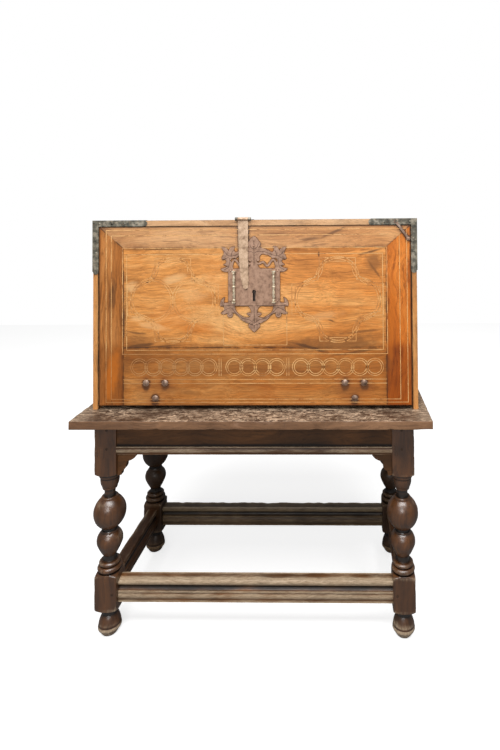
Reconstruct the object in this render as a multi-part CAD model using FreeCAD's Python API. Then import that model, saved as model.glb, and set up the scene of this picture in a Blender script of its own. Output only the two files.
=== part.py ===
import FreeCAD, Part
import math
import os

# A Spanish fall-front writing cabinet (vargueno) resting on its joined oak table stand.
# Millimetres. X runs to the viewer's right, the front faces -Y and Z is up.
# The origin is on the floor, under the middle of the table top.
# The fall hinges at its lower edge, the iron hasp swings on a pin at the top front edge,
# the lock bolt slides, the corner hook turns, and a bail handle hangs on each side.

# Stand: overall sizes
table_width = 1120.0
table_depth = 560.0
table_height = 716.0
table_top_thick = 27.0
table_top_edge_round = 2.5
top_overhang_side = 48.5
top_overhang_front = 64.0
top_overhang_back = 25.0
leg_square = 71.0
leg_block_low = 84.0
leg_block_high = 201.0
leg_post_low = 512.0
leg_shoulder_high = 11.0
leg_shoulder_radius = 34.0

# Stand: aprons, brackets and stretchers
apron_high = 108.0
apron_thick = 30.0
apron_setback = 6.0
apron_mould_high = 27.0
apron_mould_proud = 4.5
apron_groove = 3.0
apron_tenon_thick = 14.0
apron_tenon_shoulder = 8.0
apron_tenon_long = 42.0
bracket_long = 64.0
bracket_high = 67.0
bracket_thick = 20.0
stretcher_low = 106.0
stretcher_high = 72.0
stretcher_deep = 40.0
stretcher_bead_high = 17.0
stretcher_cove_high = 17.0
stretcher_cove_deep = 7.0
stretcher_fillet_high = 6.0
stretcher_lower_bead_high = 22.0
stretcher_step = 3.0
stretcher_tenon_thick = 14.0
stretcher_tenon_high = 50.0
stretcher_tenon_long = 26.0
peg_radius = 4.2
peg_proud = 0.6
peg_long = 45.0
peg_from_tenon_end = 11.0
apron_peg_low = 20.0
apron_peg_spacing = 60.0
apron_peg_side_lift = 17.0
stretcher_peg_from_shoulder = 13.0

# Case: overall sizes
case_width = 1060.0
case_depth = 440.0
case_height = 615.0
case_setback = 94.0
side_thick = 18.0
top_thick = 18.0
bottom_thick = 22.5
back_thick = 14.0
dovetails = 6
dovetail_pin = 17.0
dovetail_slope_share = 0.16

# Interior: partitions, shelves and drawers
fitting_setback = 34.0
partition_thick = 10.0
centre_bay = 320.0
shelf_thick = 8.0
shelf_housing = 4.0
side_rows = 4
centre_rows = 3
drawer_gap = 1.2
drawer_board = 8.0
drawer_front_thick = 12.0
drawer_base_thick = 6.0
drawer_base_lift = 3.0
drawer_back_gap = 20.0
knob_radius = 9.0
knob_neck_radius = 4.5
knob_long = 16.0
knob_shank_radius = 3.0

# Fall front
fall_thick = 18.0
fall_side_gap = 2.0
fall_top_gap = 2.5
fall_foot_gap = 13.0
fall_stile = 80.0
fall_rail = 70.0
fall_tongue_thick = 6.0
fall_tongue_long = 8.0
panel_joint_height = 200.0
hinge_line_gap = 0.5

# Fall hinges: wrought straps inside, domed studs outside
hinge_from_stile = 105.0
hinge_plate_thick = 2.5
hinge_barrel_radius = 4.5
hinge_barrel_gap = 0.5
hinge_knuckle = 13.5
hinge_knuckle_gap = 0.4
hinge_pin_radius = 2.0
hinge_pin_play = 0.06
hinge_strap_width = 15.0
hinge_eye_radius = 10.0
hinge_stud_low = 35.0
hinge_stud_high = 85.0
hinge_stud_spread = 31.0
stud_radius = 10.5
stud_dome = 4.0
stud_shank_radius = 2.2
leaf_deep = 27.0
leaf_width = 62.0

# Lock plate: pierced iron
plate_thick = 2.0
plate_half_width = 84.0
plate_low = 336.0
plate_high = 456.0
plate_bar_half_width = 108.0
plate_bar_high = 9.0
plate_finial_high = 106.0
plate_horn_high = 120.0
plate_pendant_high = 86.0
plate_knob_radius = 9.0
plate_curl_wide = 6.0
plate_nail_radius = 3.2
plate_nail_inset = 7.0
keyhole_height = 381.0
keyhole_radius = 6.5
keyhole_slot_width = 9.0
keyhole_slot_long = 31.0
drill_pin_radius = 1.7
column_from_centre = 65.0
column_low = 346.0
column_high = 450.0
column_foot = 11.0
column_stand_off = 7.5

# Lock case and bolt, let into the fall behind the plate
lock_half_width = 45.0
lock_low = 346.0
lock_high = 446.0
lock_wall = 1.5
lock_deep = 15.0
lock_room = 0.5
bolt_height = 402.0
bolt_high = 9.0
bolt_thick = 5.5
bolt_long = 50.0
bolt_play = 0.15
bolt_throw = 12.0
bolt_guide = 8.0
bolt_guide_high = 7.0
bolt_notch_share = 0.33

# Hasp: one strap on a pin at the top front edge
hasp_from_centre = -35.0
hasp_width = 34.0
hasp_tip_width = 17.0
hasp_tip_shift = 8.0
hasp_long = 228.0
hasp_thick = 3.0
hasp_gap = 1.0
hasp_ear = 8.0
hasp_side_gap = 0.5
hasp_bend_share = 0.45
hasp_taper_share = 0.62
hasp_bend_shift_share = 0.12
hasp_barrel_radius = 5.5
hasp_pin_radius = 2.2
hasp_pin_play = 0.08
hasp_top_long = 62.0
hasp_top_thick = 2.0
staple_wide = 5.0
staple_high = 17.0
staple_reach = 13.5
staple_bar = 2.6
staple_slot_play = 2.0

# Corner mounts and corner hook
mount_thick = 2.0
mount_wrap = 22.0
mount_left_long = 170.0
mount_right_long = 147.0
mount_drop = 166.0
mount_nail_pitch = 42.0
mount_nail_clear = 14.0
hook_pivot_in = 27.0
hook_pivot_height = 552.0
hook_stud_in = 67.0
hook_stud_height = 607.0
hook_width = 7.0
hook_thick = 2.2
hook_gap = 0.5
hook_eye_radius = 6.5
hook_stud_radius = 2.6
hook_stud_play = 0.5
hook_pivot_play = 0.08

# Small nails in the iron
nail_radius = 3.6
nail_dome = 1.8
nail_shank_radius = 1.4
nail_long = 12.0

# Bail handles on the sides
handle_height = 372.0
handle_span = 112.0
handle_drop = 62.0
handle_rod_radius = 4.5
handle_grip_radius = 7.0
handle_stand_off = 15.0
handle_end_long = 9.0
handle_play = 0.10
eye_thick = 6.0
eye_radius = 9.0
eye_shank_radius = 3.2
rose_radius = 19.0
rose_thick = 1.6

# Places worked out from the sizes above
leg_x = table_width / 2 - top_overhang_side - leg_square / 2
leg_front_y = -table_depth / 2 + top_overhang_front + leg_square / 2
leg_back_y = table_depth / 2 - top_overhang_back - leg_square / 2
leg_top = table_height - table_top_thick
apron_low = leg_top - apron_high
case_front = -table_depth / 2 + case_setback
case_back = case_front + case_depth
case_half = case_width / 2
case_low = table_height
case_top = case_low + case_height
case_top_under = case_top - top_thick
fall_inner = case_front + fall_thick
fall_half = case_half - side_thick - fall_side_gap
fall_low = case_low + fall_foot_gap
hinge_from_centre = fall_half - fall_stile - hinge_from_stile
fall_high = case_top_under - fall_top_gap
hinge_z = case_low + bottom_thick
interior_half = case_half - side_thick
interior_back = case_back - back_thick
fitting_front = fall_inner + fitting_setback
cut_over = 1.0

Vec = FreeCAD.Vector
ALONG_X = Vec(1, 0, 0)
ALONG_Y = Vec(0, 1, 0)
ALONG_Z = Vec(0, 0, 1)
nodes = {}


# Helpers
def block(x, y, z):
    """A box between the low and high values given for each axis."""
    low = Vec(x[0], y[0], z[0])
    return Part.makeBox(x[1] - x[0], y[1] - y[0], z[1] - z[0], low)


def rod(start, end, radius):
    """A round rod from one point to another."""
    way = end - start
    return Part.makeCylinder(radius, way.Length, start, way)


def face_of(corners):
    """A flat face with straight sides through the given corners."""
    return Part.Face(Part.makePolygon(corners + [corners[0]]))


def prism(corners, way):
    """A straight-sided bar: the outline through the corners, pushed along way."""
    return face_of(corners).extrude(way)


def fused(shapes):
    """One solid from touching or overlapping shapes."""
    whole = shapes[0].fuse(shapes[1:]) if len(shapes) > 1 else shapes[0]
    return whole.removeSplitter()


def minus(shape, cutters):
    """The shape without the cutters."""
    return shape.cut(cutters) if cutters else shape


def mirrored(shape):
    """The same shape on the other side of the middle plane."""
    return shape.mirror(Vec(0, 0, 0), ALONG_X)


def arc(start, middle, end):
    """An edge that bends through three points."""
    return Part.Arc(start, middle, end).toShape()


def line(start, end):
    """A straight edge."""
    return Part.LineSegment(start, end).toShape()


def turned(x, y, low, members):
    """A lathe-turned piece standing on low.

    Each member is a height with its low, middle and high radius: equal radii make a
    straight collar, a larger middle radius a bead or ball and a smaller one a cove.
    """
    edges = []
    z = low
    at = Vec(0, 0, z)
    for high, low_radius, middle_radius, high_radius in members:
        start = Vec(low_radius, 0, z)
        end = Vec(high_radius, 0, z + high)
        if (start - at).Length > 0:
            edges.append(line(at, start))
        if middle_radius * 2 == low_radius + high_radius:
            edges.append(line(start, end))
        else:
            edges.append(arc(start, Vec(middle_radius, 0, z + high / 2), end))
        z += high
        at = end
    top = Vec(0, 0, z)
    edges.append(line(at, top))
    edges.append(line(top, Vec(0, 0, low)))
    solid = Part.Face(Part.Wire(edges)).revolve(Vec(0, 0, 0), ALONG_Z, 360)
    solid.translate(Vec(x, y, 0))
    return solid


def dome(centre, way, radius, high):
    """A low rounded nail head that stands on centre and points along way."""
    sphere_radius = (radius * radius + high * high) / (2 * high)
    ball_centre = centre + way * (high - sphere_radius)
    ball = Part.makeSphere(sphere_radius, ball_centre)
    keep = Part.makeCylinder(radius + high, high + high, centre, way)
    return ball.common(keep)


def nail(head, way, radius, high, shank_radius, deep):
    """A domed nail: its head on the surface at head, its shank driven the other way."""
    cap = dome(head, way, radius, high)
    shank = rod(head - way * deep, head + way * (high / 2), shank_radius)
    return fused([cap, shank])


def save(name, shapes):
    """Keep one named piece, or one group of like pieces."""
    nodes[name] = shapes if isinstance(shapes, list) else [shapes]


# Legs: square posts and blocks left on a turned shaft
# Each row: height, low radius, middle radius, high radius, from the floor up.
foot_members = [
    (9.0, 20.0, 25.0, 27.5),
    (5.5, 28.0, 29.0, 28.0),
    (2.5, 26.5, 26.5, 26.5),
    (10.0, 33.5, 36.0, 35.5),
    (38.0, 35.5, 31.5, 23.0),
    (19.0, 22.5, 21.5, 22.5),
]
shaft_members = [
    (2.5, 29.5, 29.5, 29.5),
    (16.0, 31.0, 38.0, 30.0),
    (2.5, 27.5, 27.5, 27.5),
    (11.5, 30.0, 33.0, 25.0),
    (3.0, 24.0, 24.0, 24.0),
    (14.0, 21.5, 19.8, 20.5),
    (36.5, 20.9, 31.3, 39.3),
    (36.0, 39.3, 38.5, 27.0),
    (5.5, 26.7, 26.4, 24.7),
    (6.5, 22.0, 21.0, 22.0),
    (93.0, 22.0, 50.0, 26.5),
    (5.5, 26.5, 26.4, 24.5),
    (24.0, 17.5, 16.8, 18.0),
    (5.5, 22.2, 23.4, 23.4),
    (29.0, 23.4, 28.6, 29.5),
    (3.0, 28.5, 28.5, 28.5),
    (11.0, 31.0, 33.5, 33.0),
]
shoulder_bulge_share = 0.72


def member_total(members):
    """The whole height of a list of turned members."""
    return sum(high for high, *_ in members)


def squared(x, y, low, high, round_low, round_high):
    """A square block whose ends carry the rounded shoulders that the lathe leaves."""
    half = leg_square / 2
    plain = block((x - half, x + half), (y - half, y + half), (low, high))
    corner = half * math.sqrt(2) + cut_over
    middle_radius = leg_shoulder_radius + (corner - leg_shoulder_radius) * shoulder_bulge_share
    shoulder_up = (leg_shoulder_high, leg_shoulder_radius, middle_radius, corner)
    shoulder_down = (leg_shoulder_high, corner, middle_radius, leg_shoulder_radius)
    straight = high - low
    members = []
    if round_low:
        members.append(shoulder_up)
        straight -= leg_shoulder_high
    if round_high:
        straight -= leg_shoulder_high
    members.append((straight, corner, corner, corner))
    if round_high:
        members.append(shoulder_down)
    return plain.common(turned(x, y, low, members))


def leg(x, y):
    """One leg with its foot, lower block, turned shaft and upper post."""
    shaft_high = leg_post_low - leg_block_high
    shaft_scale = shaft_high / member_total(shaft_members)
    foot_scale = leg_block_low / member_total(foot_members)
    shaft = [(row[0] * shaft_scale,) + row[1:] for row in shaft_members]
    foot = [(row[0] * foot_scale,) + row[1:] for row in foot_members]
    return fused([
        turned(x, y, 0, foot),
        squared(x, y, leg_block_low, leg_block_high, True, True),
        turned(x, y, leg_block_high, shaft),
        squared(x, y, leg_post_low, leg_top, True, False),
    ])


# Aprons, stretchers and their tenons
def apron_profile(front, low):
    """Cross-section of an apron in depth and height: a flat board over a rounded moulding."""
    back = front + apron_thick
    proud = front - apron_mould_proud
    mould_top = low + apron_mould_high
    bead_top = mould_top - apron_groove
    bead_low = low + apron_groove
    middle = (bead_top + bead_low) / 2
    p = [
        Vec(0, back, low), Vec(0, back, low + apron_high), Vec(0, front, low + apron_high),
        Vec(0, front, mould_top), Vec(0, proud, mould_top), Vec(0, proud, bead_top),
        Vec(0, front, bead_top), Vec(0, proud, middle), Vec(0, front, bead_low),
        Vec(0, front, low),
    ]
    edges = [line(p[i], p[i + 1]) for i in range(6)]
    edges.append(arc(p[6], p[7], p[8]))
    edges += [line(p[8], p[9]), line(p[9], p[0])]
    return Part.Face(Part.Wire(edges))


def stretcher_profile(front, low):
    """Cross-section of a stretcher: bead over cove over bead on the front, rounded top."""
    back = front + stretcher_deep
    top = low + stretcher_high
    bead_low = top - stretcher_bead_high
    cove_low = bead_low - stretcher_cove_high
    fillet_low = cove_low - stretcher_fillet_high
    foot_top = fillet_low - stretcher_lower_bead_high
    step = stretcher_step
    inner = front + step
    points = [
        Vec(0, back, low), Vec(0, back, top), Vec(0, inner, top), Vec(0, inner, bead_low),
        Vec(0, inner + step, bead_low), Vec(0, inner, cove_low), Vec(0, front, cove_low),
        Vec(0, front, fillet_low), Vec(0, inner, fillet_low), Vec(0, inner, foot_top),
        Vec(0, inner, low),
    ]
    upper_bulge = Vec(0, front, (top + bead_low) / 2)
    cove_bulge = Vec(0, front + stretcher_cove_deep + step, (bead_low + cove_low) / 2)
    lower_bulge = Vec(0, front, (fillet_low + foot_top) / 2)
    edges = [
        line(points[0], points[1]),
        line(points[1], points[2]),
        arc(points[2], upper_bulge, points[3]),
        line(points[3], points[4]),
        arc(points[4], cove_bulge, points[5]),
        line(points[5], points[6]),
        line(points[6], points[7]),
        line(points[7], points[8]),
        arc(points[8], lower_bulge, points[9]),
        line(points[9], points[10]),
        line(points[10], points[0]),
    ]
    return Part.Face(Part.Wire(edges))


def rail_between(profile, half, tenon_y, tenon_z, tenon_long):
    """A rail along X, from -half to half, with a tenon on each end."""
    body = profile.extrude(ALONG_X * (2 * half))
    body.translate(Vec(-half, 0, 0))
    tongue = block((-half - tenon_long, half + tenon_long), tenon_y, tenon_z)
    return fused([body, tongue])


def turned_about_z(shape, angle, x, y):
    """The shape turned about the upright axis through the origin, then moved."""
    copy = shape.copy()
    copy.rotate(Vec(0, 0, 0), ALONG_Z, angle)
    copy.translate(Vec(x, y, 0))
    return copy


leg_middle_y = (leg_front_y + leg_back_y) / 2
inner_half_x = leg_x - leg_square / 2
inner_half_y = (leg_back_y - leg_front_y) / 2 - leg_square / 2


def apron(half):
    """An apron along X whose outer face looks to -Y, drawn about the post's centre line."""
    front = -leg_square / 2 + apron_setback
    middle = front + apron_thick / 2
    cheek = (middle - apron_tenon_thick / 2, middle + apron_tenon_thick / 2)
    span = (apron_low + apron_tenon_shoulder, leg_top - apron_tenon_shoulder)
    return rail_between(apron_profile(front, apron_low), half, cheek, span, apron_tenon_long)


def stretcher(half):
    """A stretcher along X with its moulded face to -Y, centred on the leg's block."""
    front = -stretcher_deep / 2
    middle = stretcher_low + stretcher_high / 2
    cheek = (-stretcher_tenon_thick / 2, stretcher_tenon_thick / 2)
    span = (middle - stretcher_tenon_high / 2, middle + stretcher_tenon_high / 2)
    profile = stretcher_profile(front, stretcher_low)
    return rail_between(profile, half, cheek, span, stretcher_tenon_long)


def around(make):
    """The front, back, left and right copy of a rail, each facing outward."""
    wide = make(inner_half_x)
    short = make(inner_half_y)
    return {
        "front": turned_about_z(wide, 0, 0, leg_front_y),
        "back": turned_about_z(wide, 180, 0, leg_back_y),
        "left": turned_about_z(short, 270, -leg_x, leg_middle_y),
        "right": turned_about_z(short, 90, leg_x, leg_middle_y),
    }


aprons = around(apron)
stretchers = around(stretcher)

# Ogee bracket outline: shares of its length from the post and of its drop from the apron.
bracket_line_shares = [(1.0, 0.0), (0.48, 0.33), (0.44, 0.47), (0.22, 0.8), (0.18, 1.0)]
bracket_bulge_shares = [(0.78, 0.24), (0.37, 0.7)]


def bracket():
    """A bracket under the left end of a rail along X, drawn from the post's inner face."""
    places = [Vec(bracket_long * u, 0, -bracket_high * v) for u, v in bracket_line_shares]
    bulges = [Vec(bracket_long * u, 0, -bracket_high * v) for u, v in bracket_bulge_shares]
    root = Vec(0, 0, 0)
    foot = Vec(0, 0, -bracket_high)
    edges = [
        line(root, places[0]),
        arc(places[0], bulges[0], places[1]),
        line(places[1], places[2]),
        arc(places[2], bulges[1], places[3]),
        line(places[3], places[4]),
        line(places[4], foot),
        line(foot, root),
    ]
    return Part.Face(Part.Wire(edges)).extrude(ALONG_Y * bracket_thick)


def bracket_pair(half):
    """The two brackets under one rail along X."""
    lead = -leg_square / 2 + apron_setback + (apron_thick - bracket_thick) / 2
    left = bracket()
    left.translate(Vec(-half, lead, apron_low))
    return [left, mirrored(left)]


brackets = []
for pair, angle, x, y in (
    (bracket_pair(inner_half_x), 0, 0, leg_front_y),
    (bracket_pair(inner_half_x), 180, 0, leg_back_y),
    (bracket_pair(inner_half_y), 270, -leg_x, leg_middle_y),
    (bracket_pair(inner_half_y), 90, leg_x, leg_middle_y),
):
    brackets += [turned_about_z(one, angle, x, y) for one in pair]

# Oak pegs draw each tenon up: two through an apron tenon, one through a stretcher tenon.
apron_peg_x = leg_square / 2 - apron_tenon_long + peg_from_tenon_end
stretcher_peg_x = leg_square / 2 - stretcher_peg_from_shoulder
stretcher_peg_z = stretcher_low + stretcher_high / 2
half_post = leg_square / 2


def corner_pegs():
    """The pegs of the front left leg, drawn about its centre line."""
    front_z = [apron_low + apron_peg_low, apron_low + apron_peg_low + apron_peg_spacing]
    places = [(apron_peg_x, z) for z in front_z] + [(stretcher_peg_x, stretcher_peg_z)]
    pegs = []
    for x, z in places:
        start = Vec(x, -half_post - peg_proud, z)
        pegs.append(rod(start, start + ALONG_Y * peg_long, peg_radius))
    lifted = [(apron_peg_x, z + apron_peg_side_lift) for z in front_z]
    lifted.append((stretcher_peg_x, stretcher_peg_z))
    for y, z in lifted:
        start = Vec(-half_post - peg_proud, y, z)
        pegs.append(rod(start, start + ALONG_X * peg_long, peg_radius))
    return pegs


pegs = []
for side_x in (1, -1):
    for side_y in (1, -1):
        for peg in corner_pegs():
            shape = peg if side_x == 1 else mirrored(peg)
            if side_y == -1:
                shape = shape.mirror(Vec(0, 0, 0), ALONG_Y)
            corner_y = leg_front_y if side_y == 1 else leg_back_y
            shape.translate(Vec(-side_x * leg_x, corner_y, 0))
            pegs.append(shape)

rails = list(aprons.values()) + list(stretchers.values())
for name, x, y in (
    ("leg_front_left", -leg_x, leg_front_y),
    ("leg_front_right", leg_x, leg_front_y),
    ("leg_back_left", -leg_x, leg_back_y),
    ("leg_back_right", leg_x, leg_back_y),
):
    save(name, minus(leg(x, y), rails + pegs))
for side, rail in aprons.items():
    save("apron_" + side, minus(rail, pegs))
for side, rail in stretchers.items():
    save("stretcher_" + side, minus(rail, pegs))
save("apron_brackets", brackets)
save("tenon_pegs", pegs)

table_top = block(
    (-table_width / 2, table_width / 2),
    (-table_depth / 2, table_depth / 2),
    (leg_top, table_height),
)
long_edges = [
    edge for edge in table_top.Edges
    if edge.BoundBox.XLength > table_width / 2 and edge.BoundBox.ZLength < table_top_thick / 2
]
save("table_top", table_top.makeFillet(table_top_edge_round, long_edges))


# Case: boards joined with through dovetails
def pins(z, wide_below, pin_at_edge):
    """Pin bars right across the case, in height span z, for the joints at both sides.

    wide_below is True where the pins widen towards the floor, and pin_at_edge where half a
    pin stands at the front and the back edge.
    """
    pitch = case_depth / dovetails
    centres = [pitch * i for i in range(dovetails + 1)]
    if not pin_at_edge:
        centres = [pitch * i + pitch / 2 for i in range(dovetails)]
    spread = (z[1] - z[0]) * dovetail_slope_share
    bars = []
    for centre in centres:
        y = case_front + centre
        narrow = dovetail_pin / 2
        wide = narrow + spread
        high_half, low_half = (narrow, wide) if wide_below else (wide, narrow)
        corners = [
            Vec(-case_half, y - low_half, z[0]), Vec(-case_half, y + low_half, z[0]),
            Vec(-case_half, y + high_half, z[1]), Vec(-case_half, y - high_half, z[1]),
        ]
        bars.append(prism(corners, ALONG_X * case_width))
    return bars


depth_span = (case_front, case_back)
top_board = block((-case_half, case_half), depth_span, (case_top_under, case_top))
bottom_board = block((-case_half, case_half), depth_span, (case_low, hinge_z))
top_pins = [bar.common(top_board) for bar in pins((case_top_under, case_top), True, True)]
bottom_pins = [bar.common(bottom_board) for bar in pins((case_low, hinge_z), False, False)]
left_side = block((-case_half, -interior_half), depth_span, (case_low, case_top))
right_side = block((interior_half, case_half), depth_span, (case_low, case_top))
inner_top = block((-interior_half, interior_half), depth_span, (case_top_under, case_top))
inner_bottom = block((-interior_half, interior_half), depth_span, (case_low, hinge_z))
left_side = minus(left_side, top_pins + bottom_pins)
right_side = minus(right_side, top_pins + bottom_pins)
case_top_board = fused([inner_top] + top_pins)
case_bottom_board = fused([inner_bottom] + bottom_pins)

# The bottom board stops behind the fall, and its front edge slopes back so that the fall's
# lower lip can swing under it.
lip_drop = hinge_z - fall_low
lip_slope = lip_drop / fall_thick
edge_y = fall_inner + hinge_line_gap
under_y = edge_y + bottom_thick * lip_slope
front_room = prism(
    [
        Vec(-case_width, case_front - cut_over, case_low - cut_over),
        Vec(-case_width, under_y, case_low - cut_over),
        Vec(-case_width, under_y, case_low),
        Vec(-case_width, edge_y, hinge_z),
        Vec(-case_width, edge_y, hinge_z + cut_over),
        Vec(-case_width, case_front - cut_over, hinge_z + cut_over),
    ],
    ALONG_X * (2 * case_width),
)
case_bottom_board = minus(case_bottom_board, [front_room])
case_back_board = block(
    (-interior_half, interior_half), (interior_back, case_back), (hinge_z, case_top_under)
)

# Interior: two partitions, housed shelves and a nest of drawers
bay_half = centre_bay / 2
left_bay = (-interior_half, -bay_half - partition_thick)
centre_span = (-bay_half, bay_half)
right_bay = (bay_half + partition_thick, interior_half)
fitting_y = (fitting_front, interior_back)
partition_left = block((left_bay[1], centre_span[0]), fitting_y, (hinge_z, case_top_under))
partition_right = block((centre_span[1], right_bay[0]), fitting_y, (hinge_z, case_top_under))
shelves = []
drawers = {}
knobs = []


def drawer(x, z):
    """An open box of five boards: front, two sides, back and a base between them."""
    low_x, high_x = x[0] + drawer_gap, x[1] - drawer_gap
    low_z, high_z = z[0] + drawer_gap / 2, z[1] - drawer_gap
    front_y = fitting_front
    side_y = front_y + drawer_front_thick
    back_y = interior_back - drawer_back_gap
    tail_y = back_y - drawer_board
    base_low = low_z + drawer_base_lift
    inside = (low_x + drawer_board, high_x - drawer_board)
    return [
        block((low_x, high_x), (front_y, side_y), (low_z, high_z)),
        block((low_x, inside[0]), (side_y, back_y), (low_z, high_z)),
        block((inside[1], high_x), (side_y, back_y), (low_z, high_z)),
        block(inside, (tail_y, back_y), (low_z, high_z)),
        block(inside, (side_y, tail_y), (base_low, base_low + drawer_base_thick)),
    ]


def knob(x, z):
    """A small turned knob whose shank sits in the drawer front."""
    ball = Part.makeSphere(knob_radius, Vec(x, fitting_front - knob_long + knob_radius, z))
    neck = rod(Vec(x, fitting_front - knob_radius, z), Vec(x, fitting_front, z), knob_neck_radius)
    end = Vec(x, fitting_front + drawer_front_thick, z)
    shank = rod(Vec(x, fitting_front - knob_radius, z), end, knob_shank_radius)
    return fused([ball, neck, shank])


def fill_bay(label, bay, rows):
    """Shelves and drawers of one bay, from the bottom up."""
    room = case_top_under - hinge_z - shelf_thick * (rows - 1)
    row_high = room / rows
    for row in range(rows):
        low = hinge_z + row * (row_high + shelf_thick)
        span = (low, low + row_high)
        if row:
            housed = (bay[0] - shelf_housing, bay[1] + shelf_housing)
            shelves.append(block(housed, fitting_y, (low - shelf_thick, low)))
        middle_x = (bay[0] + bay[1]) / 2
        pull = knob(middle_x, (span[0] + span[1]) / 2)
        knobs.append(pull)
        name = "drawer_%s_%d" % (label, row + 1)
        drawers[name] = [board.cut(pull) for board in drawer(bay, span)]


fill_bay("left", left_bay, side_rows)
fill_bay("centre", centre_span, centre_rows)
fill_bay("right", right_bay, side_rows)
left_side = minus(left_side, shelves)
right_side = minus(right_side, shelves)
save("partition_left", minus(partition_left, shelves))
save("partition_right", minus(partition_right, shelves))
save("drawer_shelves", shelves)
for name, boards in drawers.items():
    save(name, boards)
save("drawer_knobs", knobs)

# Fall front: a panel tongued into two stiles and a top rail, mitred at the upper corners
fall_depth = (case_front, fall_inner)
panel_half = fall_half - fall_stile
panel_high = fall_high - fall_rail
tongue_middle = (case_front + fall_inner) / 2
tongue_y = (tongue_middle - fall_tongue_thick / 2, tongue_middle + fall_tongue_thick / 2)
tongue = block(
    (-panel_half - fall_tongue_long, panel_half + fall_tongue_long),
    tongue_y,
    (fall_low, panel_high + fall_tongue_long),
)
panel = fused([block((-panel_half, panel_half), fall_depth, (fall_low, panel_high)), tongue])
stile_outline = [
    Vec(-fall_half, case_front, fall_low), Vec(-panel_half, case_front, fall_low),
    Vec(-panel_half, case_front, panel_high), Vec(-fall_half, case_front, fall_high),
]
rail_outline = [
    Vec(-panel_half, case_front, panel_high), Vec(panel_half, case_front, panel_high),
    Vec(fall_half, case_front, fall_high), Vec(-fall_half, case_front, fall_high),
]
stile_left = minus(prism(stile_outline, ALONG_Y * fall_thick), [tongue])
rail_top = minus(prism(rail_outline, ALONG_Y * fall_thick), [tongue])
lip_cut = prism(
    [
        Vec(-case_width, case_front - cut_over, fall_low - cut_over * lip_slope),
        Vec(-case_width, fall_inner + cut_over, hinge_z + cut_over * lip_slope),
        Vec(-case_width, fall_inner + cut_over, case_low),
        Vec(-case_width, case_front - cut_over, case_low),
    ],
    ALONG_X * (2 * case_width),
)
stile_left = minus(stile_left, [lip_cut])
panel = minus(panel, [lip_cut])

# Fall hinges: a forked strap on the fall and a leaf on the bottom board
knuckle_step = hinge_knuckle + hinge_knuckle_gap
barrel_half = knuckle_step + hinge_knuckle / 2
pivot = Vec(0, fall_inner, hinge_z)
plate_back = fall_inner + hinge_plate_thick


def along_axis(start, length, radius):
    """A round bar along the hinge line of one hinge, drawn at the middle plane."""
    return rod(pivot + ALONG_X * start, pivot + ALONG_X * (start + length), radius)


def flat_bar(start, end, width, y, thick, radius):
    """A flat bar between two points in an upright plane, with a round eye at its end."""
    way = Vec(end[0] - start[0], 0, end[1] - start[1])
    side = Vec(way.z, 0, -way.x) * (width / 2 / way.Length)
    low, high = Vec(start[0], y, start[1]), Vec(end[0], y, end[1])
    bar = prism([low + side, high + side, high - side, low - side], ALONG_Y * thick)
    return [bar, Part.makeCylinder(radius, thick, high, ALONG_Y)]


low_eye = (0, case_low + hinge_stud_low)
stud_places = [low_eye] + [
    (side * hinge_stud_spread, case_low + hinge_stud_high) for side in (-1, 1)
]
stem_half = hinge_knuckle / 2
strap_parts = [
    along_axis(-stem_half, hinge_knuckle, hinge_barrel_radius),
    block((-stem_half, stem_half), (fall_inner, plate_back), (hinge_z, low_eye[1])),
    Part.makeCylinder(hinge_eye_radius, hinge_plate_thick, Vec(0, fall_inner, low_eye[1]), ALONG_Y),
]
for eye in stud_places[1:]:
    strap_parts += flat_bar(
        low_eye, eye, hinge_strap_width, fall_inner, hinge_plate_thick, hinge_eye_radius
    )
middle_bore = along_axis(-barrel_half, 2 * barrel_half, hinge_pin_radius + hinge_pin_play)
strap = minus(fused(strap_parts), [middle_bore])
leaf_front = fall_inner + hinge_barrel_radius + hinge_barrel_gap + hinge_line_gap
leaf_parts = [
    block(
        (-leaf_width / 2, leaf_width / 2),
        (leaf_front, fall_inner + leaf_deep),
        (hinge_z, hinge_z + hinge_plate_thick),
    )
]
for side in (-1, 1):
    start = side * knuckle_step - hinge_knuckle / 2
    leaf_parts.append(along_axis(start, hinge_knuckle, hinge_barrel_radius))
    leaf_parts.append(
        block(
            (start, start + hinge_knuckle),
            (fall_inner, leaf_front),
            (hinge_z, hinge_z + hinge_plate_thick),
        )
    )
pin = along_axis(-barrel_half, 2 * barrel_half, hinge_pin_radius)
leaf = minus(fused(leaf_parts), [pin])
barrel_room = along_axis(
    -barrel_half - hinge_barrel_gap,
    2 * (barrel_half + hinge_barrel_gap),
    hinge_barrel_radius + hinge_barrel_gap,
)


def at_hinges(shape):
    """The same hinge piece at the left and the right hinge."""
    left = shape.copy()
    left.translate(ALONG_X * -hinge_from_centre)
    right = shape.copy()
    right.translate(ALONG_X * hinge_from_centre)
    return [left, right]


rooms = at_hinges(barrel_room)
studs = []
for x, z in stud_places:
    deep = fall_thick + hinge_plate_thick
    one = nail(Vec(x, case_front, z), -ALONG_Y, stud_radius, stud_dome, stud_shank_radius, deep)
    studs += at_hinges(one)
straps = [minus(one, studs) for one in at_hinges(strap)]
leaves = at_hinges(leaf)
panel = minus(panel, rooms + studs)
case_bottom_board = minus(case_bottom_board, rooms)

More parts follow.
